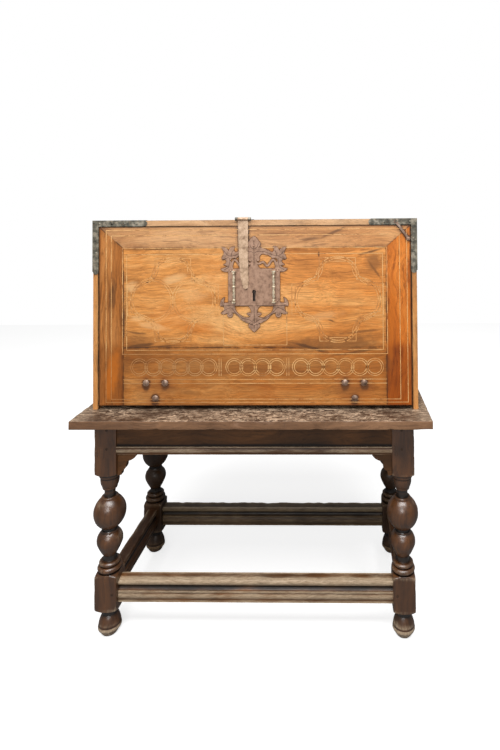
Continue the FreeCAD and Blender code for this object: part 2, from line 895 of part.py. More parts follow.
# Lock plate: a pierced iron plate with finial, forked leaves, scrolls and pendant
# Every row of an outline: its place across and up, as shares of the plate's half width and of
# the named height, and how far the line to the next place bows to the right of its way, as a
# share of that line. Each outline is the right half.
plate_face = case_front - plate_thick
finial_shares = [
    (0.00, 1.00, -0.08), (0.18, 0.85, -0.17), (0.25, 0.72, -0.01), (0.07, 0.53, 0.08),
    (0.07, 0.30, 0.10), (0.24, 0.00, 0.00), (0.00, 0.00, 0.00),
]
head_shares = [
    (0.04, 0.53, -0.17), (0.29, 0.65, -0.02), (0.71, 0.50, 0.26), (0.74, 0.68, -0.25),
    (0.98, 0.53, -0.19), (1.27, 0.66, 0.09), (1.17, 0.46, -0.06), (1.26, 0.30, 0.16),
    (1.07, 0.25, 0.21), (1.20, 0.13, 0.01), (1.02, 0.09, 0.06), (1.30, 0.00, -0.18),
    (1.00, -0.08, 0.00), (0.83, -0.08, -0.09), (0.93, 0.25, 0.24), (0.71, 0.32, 0.11),
    (0.43, 0.44, 0.32), (0.21, 0.32, -0.39), (0.10, 0.24, -0.09),
]
horn_shares = [
    (1.14, -0.01, 0.14), (1.14, 0.23, -0.18), (1.32, -0.01, 0.00),
]
arm_shares = [
    (0.00, 0.53, 0.22), (0.57, 0.45, -0.09), (0.83, 0.26, 0.00), (1.07, 0.28, 0.16),
    (1.30, 0.28, -0.19), (1.19, -0.01, 0.00), (0.76, -0.01, -0.16), (0.52, 0.37, -0.16),
    (0.14, 0.42, 0.00), (0.00, 0.42, 0.00),
]
stem_shares = [
    (0.00, -0.01, 0.00), (0.26, -0.01, 0.13), (0.11, 0.28, -0.15), (0.29, 0.31, -0.02),
    (0.10, 0.44, 0.00), (0.00, 0.44, 0.00),
]
pendant_shares = [
    (0.00, 0.44, 0.00), (0.12, 0.47, 0.13), (0.35, 0.62, -0.06), (0.15, 0.66, -0.27),
    (0.19, 0.83, -0.01), (0.00, 1.00, 0.00),
]
curl_shares = [(0.05, 0.30), (0.20, 0.16), (0.36, 0.20), (0.50, 0.09), (0.69, 0.25), (0.88, 0.08)]
knob_place_shares = (0.94, 0.34)


def on_plate(shares, across, base, up):
    """Points of an outline on the plate's back plane, from shares."""
    return [Vec(across * u, case_front, base + up * v) for u, v in shares]


def cut_iron(rows, base, up):
    """A flat iron shape as thick as the lock plate, with straight and bowed sides."""
    places = on_plate([row[:2] for row in rows], plate_half_width, base, up)
    edges = []
    for i, (start, row) in enumerate(zip(places, rows)):
        end = places[(i + 1) % len(places)]
        way = end - start
        if row[2]:
            middle = (start + end) / 2 + Vec(way.z, 0, -way.x) * row[2]
            edges.append(arc(start, middle, end))
        else:
            edges.append(line(start, end))
    return Part.Face(Part.Wire(edges)).extrude(-ALONG_Y * plate_thick)


band_steps = 12


def band(points, width):
    """A curved iron band of even width through the points, rounded at both ends."""
    middle = Part.BSplineCurve()
    middle.interpolate(points)
    first, last = middle.FirstParameter, middle.LastParameter
    left, right = [], []
    for i in range(band_steps + 1):
        t = first + (last - first) * i / band_steps
        way = Vec(middle.tangent(t)[0])
        side = Vec(way.z, 0, -way.x) * (width / 2)
        left.append(middle.value(t) + side)
        right.append(middle.value(t) - side)
    edges = [line(left[-1], right[-1]), line(right[0], left[0])]
    for side in (left, right):
        curve = Part.BSplineCurve()
        curve.interpolate(side)
        edges.append(curve.toShape())
    outline = Part.Wire(Part.__sortEdges__(edges))
    strip = Part.Face(outline).extrude(-ALONG_Y * plate_thick)
    ends = [
        Part.makeCylinder(width / 2, plate_thick, point, -ALONG_Y) for point in (points[0], points[-1])
    ]
    return [strip] + ends


low = case_low + plate_low
high = case_low + plate_high
plate_parts = [
    block((-plate_half_width, plate_half_width), (plate_face, case_front), (low, high)),
    block(
        (-plate_bar_half_width, plate_bar_half_width),
        (plate_face, case_front),
        (low, low + plate_bar_high),
    ),
]
half_parts = [
    cut_iron(finial_shares, high, plate_finial_high),
    cut_iron(head_shares, high, plate_finial_high),
    cut_iron(horn_shares, low, plate_horn_high),
    cut_iron(arm_shares, low, -plate_pendant_high),
    cut_iron(stem_shares, low, -plate_pendant_high),
    cut_iron(pendant_shares, low, -plate_pendant_high),
]
curl = on_plate(curl_shares, plate_half_width, high, plate_finial_high)
half_parts += band(curl, plate_curl_wide)
knob_place = on_plate([knob_place_shares], plate_half_width, low, -plate_pendant_high)[0]
half_parts.append(Part.makeCylinder(plate_knob_radius, plate_thick, knob_place, -ALONG_Y))
plate_parts += half_parts + [mirrored(part) for part in half_parts]
lock_plate = fused(plate_parts)

keyhole_z = case_low + keyhole_height
through = (plate_face - cut_over, case_front + cut_over)
keyhole = fused([
    Part.makeCylinder(keyhole_radius, through[1] - through[0], Vec(0, through[0], keyhole_z), ALONG_Y),
    block(
        (-keyhole_slot_width / 2, keyhole_slot_width / 2),
        through,
        (keyhole_z - keyhole_slot_long, keyhole_z),
    ),
])
hasp_tip_x = hasp_from_centre + hasp_tip_shift
bolt_z = case_low + bolt_height
staple_slot = block(
    (
        hasp_tip_x - staple_wide / 2 - staple_slot_play,
        hasp_tip_x + staple_wide / 2 + staple_slot_play,
    ),
    through,
    (bolt_z - staple_high / 2 - staple_slot_play, bolt_z + staple_high / 2 + staple_slot_play),
)

# Lock case: back, four walls and the bolt's guides, closed in front by the lock plate
lock_box_low = case_low + lock_low
lock_box_high = case_low + lock_high
lock_back = case_front + lock_deep
lock_floor = lock_back - lock_wall
lock_span = (-lock_half_width, lock_half_width)
inner_span = (lock_span[0] + lock_wall, lock_span[1] - lock_wall)
bolt_back = case_front + bolt_thick + lock_wall
bolt_y = (case_front + lock_wall, bolt_back)
bolt_low, bolt_top = bolt_z - bolt_high / 2, bolt_z + bolt_high / 2
bolt_start = hasp_tip_x + staple_wide / 2 + staple_slot_play + bolt_play
guide_starts = [bolt_start + lock_wall, bolt_start + bolt_long - bolt_throw - bolt_guide]
lock_parts = [
    block(lock_span, (lock_floor, lock_back), (lock_box_low, lock_box_high)),
    block(lock_span, (case_front, lock_floor), (lock_box_low, lock_box_low + lock_wall)),
    block(lock_span, (case_front, lock_floor), (lock_box_high - lock_wall, lock_box_high)),
    block(
        (lock_span[0], inner_span[0]),
        (case_front, lock_floor),
        (lock_box_low + lock_wall, lock_box_high - lock_wall),
    ),
    block(
        (inner_span[1], lock_span[1]),
        (case_front, lock_floor),
        (lock_box_low + lock_wall, lock_box_high - lock_wall),
    ),
    rod(Vec(0, case_front, keyhole_z), Vec(0, lock_floor, keyhole_z), drill_pin_radius),
]
for start in guide_starts:
    guide_x = (start, start + bolt_guide)
    under = (bolt_low - bolt_play - bolt_guide_high, bolt_low - bolt_play)
    over = (bolt_top + bolt_play, bolt_top + bolt_play + bolt_guide_high)
    lock_parts.append(block(guide_x, (bolt_y[0], lock_floor), under))
    lock_parts.append(block(guide_x, (bolt_y[0], lock_floor), over))
    lock_parts.append(block(guide_x, (bolt_back + bolt_play, lock_floor), (under[1], over[0])))
notch_high = bolt_high * bolt_notch_share
bolt = minus(
    block((bolt_start, bolt_start + bolt_long), bolt_y, (bolt_low, bolt_top)),
    [
        block(
            (-keyhole_radius, keyhole_radius),
            (bolt_y[0] - cut_over, bolt_y[1] + cut_over),
            (bolt_low - cut_over, bolt_low + notch_high),
        )
    ],
)
lock_mortise = block(
    (lock_span[0] - lock_room, lock_span[1] + lock_room),
    (case_front, fall_inner),
    (lock_box_low - lock_room, lock_box_high + lock_room),
)
panel = minus(panel, [lock_mortise])

# Two turned baluster bars riveted over the lock plate
column_members = [
    (8.0, 4.2, 5.6, 4.2), (3.0, 3.0, 3.0, 3.0), (30.0, 3.6, 4.9, 3.4), (2.5, 4.6, 4.6, 4.6),
    (6.0, 4.0, 5.8, 4.0), (2.5, 4.6, 4.6, 4.6), (30.0, 3.4, 4.9, 3.6), (3.0, 3.0, 3.0, 3.0),
    (8.0, 4.2, 5.6, 4.2),
]
column_foot_thick = 4.0
column_y = plate_face - column_stand_off
column_half = column_foot / 2


def column(x):
    """A baluster bar standing off the plate on a square foot at each end."""
    total = column_high - column_low - 2 * column_foot_thick
    scale = total / member_total(column_members)
    rows = [(row[0] * scale,) + row[1:] for row in column_members]
    base = case_low + column_low
    crown = case_low + column_high
    feet = [
        block((x - column_half, x + column_half), (column_y - column_half, plate_face), span)
        for span in ((base, base + column_foot_thick), (crown - column_foot_thick, crown))
    ]
    return fused([turned(x, column_y, base + column_foot_thick, rows)] + feet)


columns = [column(-column_from_centre), column(column_from_centre)]

# Hasp, its pin and the strap nailed to the case top
hasp_back = plate_face - hasp_gap
hasp_front = hasp_back - hasp_thick
hasp_pivot_y = (hasp_back + hasp_front) / 2
hasp_lift = math.sqrt(max(hasp_barrel_radius ** 2 - (case_front - hasp_pivot_y) ** 2, 0))
hasp_pivot_z = case_top + hasp_lift + hasp_gap / 2
ear_inner = hasp_width / 2 + hasp_side_gap
ear_outer = ear_inner + hasp_ear


def hasp_axis(start, end, radius):
    """A round bar along the hasp's pin line, between two places across the strap."""
    left = Vec(hasp_from_centre + start, hasp_pivot_y, hasp_pivot_z)
    right = Vec(hasp_from_centre + end, hasp_pivot_y, hasp_pivot_z)
    return rod(left, right, radius)


hasp_pin = hasp_axis(-ear_outer, ear_outer, hasp_pin_radius)
top_y = hasp_pivot_y + hasp_barrel_radius + hasp_gap
top_plate = (case_top, case_top + hasp_top_thick)
top_parts = [
    block(
        (hasp_from_centre - ear_outer, hasp_from_centre + ear_outer),
        (top_y, case_front + hasp_top_long),
        top_plate,
    )
]
for side in (-1, 1):
    near, far = sorted((side * ear_inner, side * ear_outer))
    top_parts.append(hasp_axis(near, far, hasp_barrel_radius))
    neck_x = (hasp_from_centre + near, hasp_from_centre + far)
    top_parts.append(block(neck_x, (hasp_pivot_y, top_y), top_plate))
hasp_top_strap = minus(fused(top_parts), [hasp_pin])

hasp_tip_z = hasp_pivot_z - hasp_long
half_top = hasp_width / 2
half_tip = hasp_tip_width / 2
tip_round_z = hasp_tip_z + half_tip
bend_z = hasp_pivot_z - hasp_long * hasp_bend_share
bend_half = half_top + (half_tip - half_top) * hasp_taper_share
bend_x = hasp_from_centre + hasp_tip_shift * hasp_bend_shift_share
strap_outline = [
    Vec(hasp_from_centre - half_top, hasp_front, hasp_pivot_z),
    Vec(bend_x - bend_half, hasp_front, bend_z),
    Vec(hasp_tip_x - half_tip, hasp_front, tip_round_z),
    Vec(hasp_tip_x + half_tip, hasp_front, tip_round_z),
    Vec(bend_x + bend_half, hasp_front, bend_z),
    Vec(hasp_from_centre + half_top, hasp_front, hasp_pivot_z),
]
staple_y = (hasp_back, hasp_back + staple_reach)
staple_x = (hasp_tip_x - staple_wide / 2, hasp_tip_x + staple_wide / 2)
staple = minus(
    block(staple_x, staple_y, (bolt_z - staple_high / 2, bolt_z + staple_high / 2)),
    [
        block(
            (staple_x[0] - cut_over, staple_x[1] + cut_over),
            (staple_y[0], staple_y[1] - staple_bar),
            (bolt_z - staple_high / 2 + staple_bar, bolt_z + staple_high / 2 - staple_bar),
        )
    ],
)
hasp_solid = fused([
    prism(strap_outline, ALONG_Y * hasp_thick),
    Part.makeCylinder(half_tip, hasp_thick, Vec(hasp_tip_x, hasp_front, tip_round_z), ALONG_Y),
    hasp_axis(-half_top, half_top, hasp_barrel_radius),
    staple,
])
pin_room = hasp_axis(-ear_outer, ear_outer, hasp_pin_radius + hasp_pin_play)
behind = block(
    (hasp_from_centre - ear_outer, hasp_from_centre + ear_outer),
    (hasp_pivot_y, hasp_pivot_y + 2 * hasp_barrel_radius),
    (
        hasp_pivot_z - hasp_pin_radius - hasp_pin_play,
        hasp_pivot_z + hasp_pin_radius + hasp_pin_play,
    ),
)
hasp_solid = minus(hasp_solid, [pin_room, behind])

# Corner mounts: iron angles nailed round the two upper front corners
mount_y = case_front - mount_thick


def corner_mount(side, length):
    """A strap along the top edge and one down the side edge, with rounded ends, both turned
    over the corner."""
    outer = case_half + mount_thick
    crown = case_top + mount_thick
    wrap_y = case_front + mount_wrap
    top_low = case_top_under
    drop = case_top - mount_drop
    parts = [
        block((-outer, -case_half + length), (mount_y, case_front), (top_low, crown)),
        block((-outer, -case_half + length), (mount_y, wrap_y), (case_top, crown)),
        block((-outer, -interior_half), (mount_y, case_front), (drop, crown)),
        block((-outer, -case_half), (mount_y, wrap_y), (drop, crown)),
    ]
    ends = (
        (Vec(-case_half + length, case_front, top_low + top_thick / 2), top_thick / 2),
        (Vec(-case_half + side_thick / 2, case_front, drop), side_thick / 2),
    )
    for place, radius in ends:
        parts.append(Part.makeCylinder(radius, mount_thick, place, -ALONG_Y))
    whole = fused(parts)
    return whole if side < 0 else mirrored(whole)


mount_left = corner_mount(-1, mount_left_long)
mount_right = corner_mount(1, mount_right_long)

# Corner hook: pivoted on the fall's stile, its open eye over a stud on the top edge
hook_pivot_x = case_half - hook_pivot_in
hook_stud_x = case_half - hook_stud_in
hook_back = mount_y - hook_gap
hook_front = hook_back - hook_thick
hook_low = (hook_pivot_x, case_low + hook_pivot_height)
hook_high = (hook_stud_x, case_low + hook_stud_height)
hook_way = Vec(hook_high[0] - hook_low[0], 0, hook_high[1] - hook_low[1])
hook_way.normalize()
hook_side = Vec(hook_way.z, 0, -hook_way.x)
hook_parts = flat_bar(hook_high, hook_low, hook_width, hook_front, hook_thick, hook_eye_radius)
hook_parts.append(
    Part.makeCylinder(hook_eye_radius, hook_thick, Vec(hook_high[0], hook_front, hook_high[1]), ALONG_Y)
)
eye_room = hook_stud_radius + hook_stud_play
stud_front = Vec(hook_high[0], hook_front, hook_high[1])
mouth_way = hook_side * (hook_eye_radius + eye_room)
mouth = prism(
    [
        stud_front + hook_way * eye_room,
        stud_front - hook_way * eye_room,
        stud_front - hook_way * eye_room + mouth_way,
        stud_front + hook_way * eye_room + mouth_way,
    ],
    ALONG_Y * hook_thick,
)
hook_bore = nail_shank_radius + hook_pivot_play
hook = minus(
    fused(hook_parts),
    [
        mouth,
        Part.makeCylinder(eye_room, hook_thick, Vec(hook_high[0], hook_front, hook_high[1]), ALONG_Y),
        Part.makeCylinder(hook_bore, hook_thick, Vec(hook_low[0], hook_front, hook_low[1]), ALONG_Y),
    ],
)
hook_stud = rod(
    Vec(hook_high[0], hook_front - hook_thick, hook_high[1]),
    Vec(hook_high[0], case_front, hook_high[1]),
    hook_stud_radius,
)
mount_right = fused([mount_right, hook_stud])
hook_collar = rod(
    Vec(hook_low[0], hook_back, hook_low[1]), Vec(hook_low[0], case_front, hook_low[1]),
    hook_eye_radius,
)

# Nails: in the fall through the lock plate, in the case through mounts and hasp strap
fall_nails = []
inset = plate_nail_inset
finial_nail_share = 0.7
pendant_nail_share = 0.72
plate_nail_places = [
    (side * (plate_half_width - inset), z)
    for side in (-1, 1)
    for z in (low + plate_bar_high + inset, high - inset)
]
plate_nail_places += [(side * (plate_bar_half_width - inset), low + plate_bar_high / 2) for side in (-1, 1)]
plate_nail_places.append((0, high + plate_finial_high * finial_nail_share))
plate_nail_places.append((0, low - plate_pendant_high * pendant_nail_share))
for x, z in plate_nail_places:
    head = Vec(x, plate_face, z)
    fall_nails.append(nail(head, -ALONG_Y, plate_nail_radius, nail_dome, nail_shank_radius, nail_long))
hook_nail_head = Vec(hook_low[0], hook_front - hook_gap, hook_low[1])
fall_nails.append(
    nail(hook_nail_head, -ALONG_Y, nail_radius, nail_dome, nail_shank_radius, nail_long)
)
lock_plate = minus(lock_plate, [keyhole, staple_slot] + fall_nails)
panel = minus(panel, fall_nails)
rail_top = minus(rail_top, fall_nails)
stile_right = minus(mirrored(stile_left), fall_nails)
hook_collar = minus(hook_collar, fall_nails)

top_strap_nail_shares = (0.4, 0.8)
leaf_nail_shares = (0.33, 0.62)
case_nails = []
for side, length in ((-1, mount_left_long), (1, mount_right_long)):
    count = int(length / mount_nail_pitch)
    for i in range(count):
        x = side * (case_half - mount_nail_pitch * i - mount_nail_pitch / 2)
        z = case_top - top_thick / 2
        if abs(x - hook_stud_x) > mount_nail_clear:
            case_nails.append(
                nail(
                    Vec(x, mount_y, z), -ALONG_Y,
                    nail_radius, nail_dome, nail_shank_radius, nail_long,
                )
            )
    for i in range(1, int(mount_drop / mount_nail_pitch)):
        x = side * (case_half - side_thick / 2)
        z = case_top - mount_nail_pitch * i - mount_nail_pitch / 2
        case_nails.append(
            nail(
                Vec(x, mount_y, z), -ALONG_Y,
                nail_radius, nail_dome, nail_shank_radius, nail_long,
            )
        )
for side in (-1, 1):
    for share in top_strap_nail_shares:
        head = Vec(
            hasp_from_centre + side * ear_inner / 2,
            case_front + hasp_top_long * share,
            case_top + hasp_top_thick,
        )
        case_nails.append(
            nail(head, ALONG_Z, nail_radius, nail_dome, nail_shank_radius, nail_long)
        )
for hinge_x in (-hinge_from_centre, hinge_from_centre):
    for side in (-1, 1):
        head = Vec(
            hinge_x + side * leaf_width * leaf_nail_shares[0],
            fall_inner + leaf_deep * leaf_nail_shares[1],
            hinge_z + hinge_plate_thick,
        )
        case_nails.append(
            nail(head, ALONG_Z, nail_radius, nail_dome, nail_shank_radius, nail_long)
        )

# Bail handles: one on each side, hung in two eyes driven through iron roses
handle_y = (case_front + case_back) / 2
handle_z = case_low + handle_height
bail_x = case_half + handle_stand_off
bail_half = handle_span / 2


end_share = 0.75
grip_share = 0.55


def bail():
    """The right-hand bail: two arms, a thicker grip and an end turned out into each eye."""
    top = handle_z
    grip_z = top - handle_drop
    r = handle_rod_radius
    parts = []
    for side in (-1, 1):
        arm_y = handle_y + side * bail_half
        corner = Vec(bail_x, arm_y, grip_z)
        parts.append(rod(Vec(bail_x, arm_y, top), corner, r))
        end_y = arm_y + side * (handle_end_long + r)
        parts.append(rod(Vec(bail_x, arm_y, top), Vec(bail_x, end_y, top), r * end_share))
        parts.append(Part.makeSphere(r, Vec(bail_x, arm_y, top)))
        parts.append(Part.makeSphere(r, corner))
    left = Vec(bail_x, handle_y - bail_half, grip_z)
    right = Vec(bail_x, handle_y + bail_half, grip_z)
    parts.append(rod(left, right, r))
    middle = bail_half * grip_share
    parts.append(
        rod(
            Vec(bail_x, handle_y - middle, grip_z), Vec(bail_x, handle_y + middle, grip_z),
            handle_grip_radius,
        )
    )
    return fused(parts)


eye_bore = handle_rod_radius * end_share + handle_play
eyes, roses = [], []
for side in (-1, 1):
    centre_y = handle_y + side * (bail_half + handle_rod_radius + handle_play + eye_thick / 2)
    ring = rod(
        Vec(bail_x, centre_y - eye_thick / 2, handle_z),
        Vec(bail_x, centre_y + eye_thick / 2, handle_z),
        eye_radius,
    )
    shank = rod(
        Vec(case_half - side_thick, centre_y, handle_z), Vec(bail_x, centre_y, handle_z),
        eye_shank_radius,
    )
    hole = rod(
        Vec(bail_x, centre_y - eye_thick, handle_z), Vec(bail_x, centre_y + eye_thick, handle_z),
        eye_bore,
    )
    eye = minus(fused([ring, shank]), [hole])
    rose = rod(
        Vec(case_half, centre_y, handle_z), Vec(case_half + rose_thick, centre_y, handle_z),
        rose_radius,
    )
    eyes.append(eye)
    roses.append(minus(rose, [eye]))
right_bail = bail()
left_bail = mirrored(right_bail)
left_eyes = [mirrored(one) for one in eyes]
left_side = minus(left_side, left_eyes + case_nails)
right_side = minus(right_side, eyes + case_nails)
case_top_board = minus(case_top_board, case_nails)
case_bottom_board = minus(case_bottom_board, case_nails)

save("case_top", case_top_board)
save("case_bottom", case_bottom_board)
save("case_left_side", left_side)
save("case_right_side", right_side)
save("case_back", case_back_board)
panel_joint = case_low + panel_joint_height
joint_depth = (case_front - cut_over, fall_inner + cut_over)
lower_room = block((-case_width, case_width), joint_depth, (0, panel_joint))
save("fall_panel", [panel.common(lower_room), panel.cut(lower_room)])
save("fall_stile_left", stile_left)
save("fall_stile_right", stile_right)
save("fall_top_rail", rail_top)
save("fall_hinge_straps", straps)
save("case_hinge_leaves", [minus(one, case_nails) for one in leaves])
save("hinge_pins", at_hinges(pin))
save("hinge_studs", studs)
save("lock_plate", lock_plate)
save("lock_columns", columns)
save("lock_case", lock_parts)
save("lock_bolt", bolt)
save("hasp", hasp_solid)
save("hasp_top_strap", minus(hasp_top_strap, case_nails))
save("hasp_pin", hasp_pin)
save("corner_mount_left", minus(mount_left, case_nails))
save("corner_mount_right", minus(mount_right, case_nails))
save("corner_hook", hook)
save("hook_collar", hook_collar)
save("fall_nails", fall_nails)
save("case_nails", case_nails)
save("handle_left", left_bail)
save("handle_right", right_bail)
save("handle_eyes", eyes + left_eyes)
save("handle_roses", roses + [mirrored(one) for one in roses])

os.makedirs("parts", exist_ok=True)
for name, shapes in nodes.items():
    solids = [solid for shape in shapes for solid in shape.Solids]
    whole = solids[0] if len(solids) == 1 else Part.makeCompound(solids)
    whole.exportStep("parts/" + name + ".step")
    print(name, len(solids), "solids", round(sum(solid.Volume for solid in solids)), "mm3")
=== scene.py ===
"""A Spanish fall-front cabinet on its joined table stand, in a plain white studio.

Metres, in the frame of the solid model: X to the viewer's right, the front faces -Y, Z up,
the floor at 0. The sections follow the object as it is put together, from the legs up.
"""
import math

import bmesh
import bpy
import numpy as np
from mathutils import Matrix, Vector


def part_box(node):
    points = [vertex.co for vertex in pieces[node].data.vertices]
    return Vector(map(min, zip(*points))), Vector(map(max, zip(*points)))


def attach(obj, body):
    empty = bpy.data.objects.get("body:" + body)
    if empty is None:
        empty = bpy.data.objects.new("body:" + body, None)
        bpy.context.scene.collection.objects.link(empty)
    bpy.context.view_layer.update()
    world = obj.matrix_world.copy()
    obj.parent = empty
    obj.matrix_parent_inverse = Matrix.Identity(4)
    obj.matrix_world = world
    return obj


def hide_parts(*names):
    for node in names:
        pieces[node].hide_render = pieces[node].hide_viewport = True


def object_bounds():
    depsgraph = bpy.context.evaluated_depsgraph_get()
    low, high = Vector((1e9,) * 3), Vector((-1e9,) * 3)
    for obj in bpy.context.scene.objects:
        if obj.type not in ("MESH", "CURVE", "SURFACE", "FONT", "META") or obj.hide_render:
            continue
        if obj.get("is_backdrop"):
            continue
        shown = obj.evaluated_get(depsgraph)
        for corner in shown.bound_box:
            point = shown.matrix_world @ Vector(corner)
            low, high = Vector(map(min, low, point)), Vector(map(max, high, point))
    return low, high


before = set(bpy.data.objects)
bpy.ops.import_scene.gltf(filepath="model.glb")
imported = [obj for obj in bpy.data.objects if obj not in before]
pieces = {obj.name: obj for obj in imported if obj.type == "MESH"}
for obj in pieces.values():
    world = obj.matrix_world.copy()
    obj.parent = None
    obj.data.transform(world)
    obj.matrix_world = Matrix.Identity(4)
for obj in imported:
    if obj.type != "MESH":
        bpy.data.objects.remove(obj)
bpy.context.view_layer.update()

# Legs.
# Four oak legs, each turned from one thick post. It stays square under the table top and at
# the stretchers, and the lathe rounds its shoulders where the turning starts.
MM = 0.001
TABLE_HIGH = 716 * MM
TABLE_THICK = 27 * MM
POST_HALF = 35.5 * MM
LEG_X = 476 * MM
LEG_FRONT_Y = -180.5 * MM
LEG_BACK_Y = 219.5 * MM
BLOCK_LOW, BLOCK_HIGH, POST_LOW = 84 * MM, 201 * MM, 512 * MM
SHOULDER_HIGH, SHOULDER_RADIUS, SHOULDER_BULGE = 11 * MM, 34 * MM, 0.72

# members from the bottom up: height, then low, middle and high radius, in millimetres
FOOT_MEMBERS = [
    (9, 20, 25, 27.5), (5.5, 28, 29, 28), (2.5, 26.5, 26.5, 26.5),
    (10, 33.5, 36, 35.5), (38, 35.5, 31.5, 23), (19, 22.5, 21.5, 22.5),
]
SHAFT_MEMBERS = [
    (2.5, 29.5, 29.5, 29.5), (16, 31, 38, 30), (2.5, 27.5, 27.5, 27.5),
    (11.5, 30, 33, 25), (3, 24, 24, 24), (14, 21.5, 19.8, 20.5),
    (36.5, 20.9, 31.3, 39.3), (36, 39.3, 38.5, 27), (5.5, 26.7, 26.4, 24.7),
    (6.5, 22, 21, 22), (93, 22, 50, 26.5), (5.5, 26.5, 26.4, 24.5),
    (24, 17.5, 16.8, 18), (5.5, 22.2, 23.4, 23.4), (29, 23.4, 28.6, 29.5),
    (3, 28.5, 28.5, 28.5), (11, 31, 33.5, 33),
]
FOOT_RINGS, RING_WIDE, RING_DEEP = (17 * MM, 33 * MM), 1.6 * MM, 0.9 * MM
FOOT_WORN, FOOT_FADE = 55 * MM, 30 * MM
KNOCK_DEEP, DENT_DEEP = 1.4 * MM, 0.6 * MM
CORNER_FROM, CORNER_FADE = POST_HALF * 1.25, 8 * MM
HOLLOW_SPREAD, HOLLOW_DEEP = 11 * MM, 3.2 * MM
SIDE_POINTS, SIDE_CROWDING, POWER = 23, 0.55, 30


def shade(red, green, blue):
    """A colour as the eye reads it, 0 to 255, turned into the amounts of light that mix."""
    c = np.array([red, green, blue]) / 255
    light = np.where(c <= 0.04045, c / 12.92, ((c + 0.055) / 1.055) ** 2.4)
    return (*light.tolist(), 1)


def fill(tree, node, inputs):
    """Gives each socket of a node a value or another node's output."""
    for key, value in inputs.items():
        if isinstance(value, bpy.types.NodeSocket):
            tree.links.new(value, node.inputs[key])
        else:
            node.inputs[key].default_value = value


def step(tree, kind, inputs=None, out=0, **settings):
    """An output of a new node with some inputs and settings, or the node where out is None."""
    made = tree.nodes.new("ShaderNode" + kind)
    for key, value in settings.items():
        setattr(made, key, value)
    fill(tree, made, inputs or {})
    return made if out is None else made.outputs[out]


def finish(name):
    """A new finish, its node tree, its surface shader and the place of a point in the room."""
    made = bpy.data.materials.new(name)
    made.use_nodes = True
    tree = made.node_tree
    return made, tree, tree.nodes["Principled BSDF"], step(tree, "TexCoord", out="Object")


def sums(tree, how, first, second=0):
    """Arithmetic on two values of a finish."""
    return step(tree, "Math", {0: first, 1: second}, operation=how)


def times(tree, first, second):
    """The product of two values."""
    return sums(tree, "MULTIPLY", first, second)


def less(tree, first, second):
    """The first value less the second."""
    return sums(tree, "SUBTRACT", first, second)


def vectors(tree, how, first, second):
    """Arithmetic on two vectors or colours."""
    return step(tree, "VectorMath", {0: first, 1: second}, operation=how)


def parted(tree, vector):
    """The three parts of a vector."""
    return step(tree, "SeparateXYZ", {0: vector}, None).outputs[:]


def between(tree, value, low, high):
    """0 at low, 1 at high, smooth between them and level past them, whichever is larger."""
    return step(tree, "MapRange", {0: value, 1: low, 2: high}, interpolation_type="SMOOTHSTEP")


def blended(tree, amount, under, over, part=None, how="MIX"):
    """Colour under, covered by colour over to the amount, or to a part of it. A colour of
    three numbers is one as the eye reads it."""
    if part is not None:
        amount = times(tree, amount, part)
    under, over = (
        shade(*colour) if isinstance(colour, tuple) and len(colour) == 3 else colour
        for colour in (under, over)
    )
    return step(tree, "Mix", {0: amount, 6: under, 7: over}, 2, data_type="RGBA", blend_type=how)


def ramped(tree, value, first, middle, last):
    """The colour at a value on a ramp through three stops, each a value and a colour."""
    ramp = step(tree, "ValToRGB", {0: value}, None)
    stops = ramp.color_ramp.elements
    stops[0].color, stops[0].position = shade(*first[1]), first[0]
    stops[1].color, stops[1].position = shade(*last[1]), last[0]
    stops.new(middle[0]).color = shade(*middle[1])
    return ramp.outputs[0]


def cloud(tree, space, scale, detail=4, rough=0.55, twist=0):
    """Noise of scale features a metre, or of three scales for the axes, about 0.5 on average."""
    scale = scale if isinstance(scale, tuple) else (scale,) * 3
    near = step(tree, "Mapping", {"Vector": space, "Scale": scale})
    return step(tree, "TexNoise", {
        "Vector": near, "Scale": 1, "Detail": detail, "Roughness": rough, "Distortion": twist,
    })


SHARP, STRAIGHT = 40, 1e-7
STAND = "case_and_stand", "stand_oak"
TURNS = {"x": (0, 0, 0), "y": (0, 0, -math.pi / 2), "z": (0, math.pi / 2, 0)}


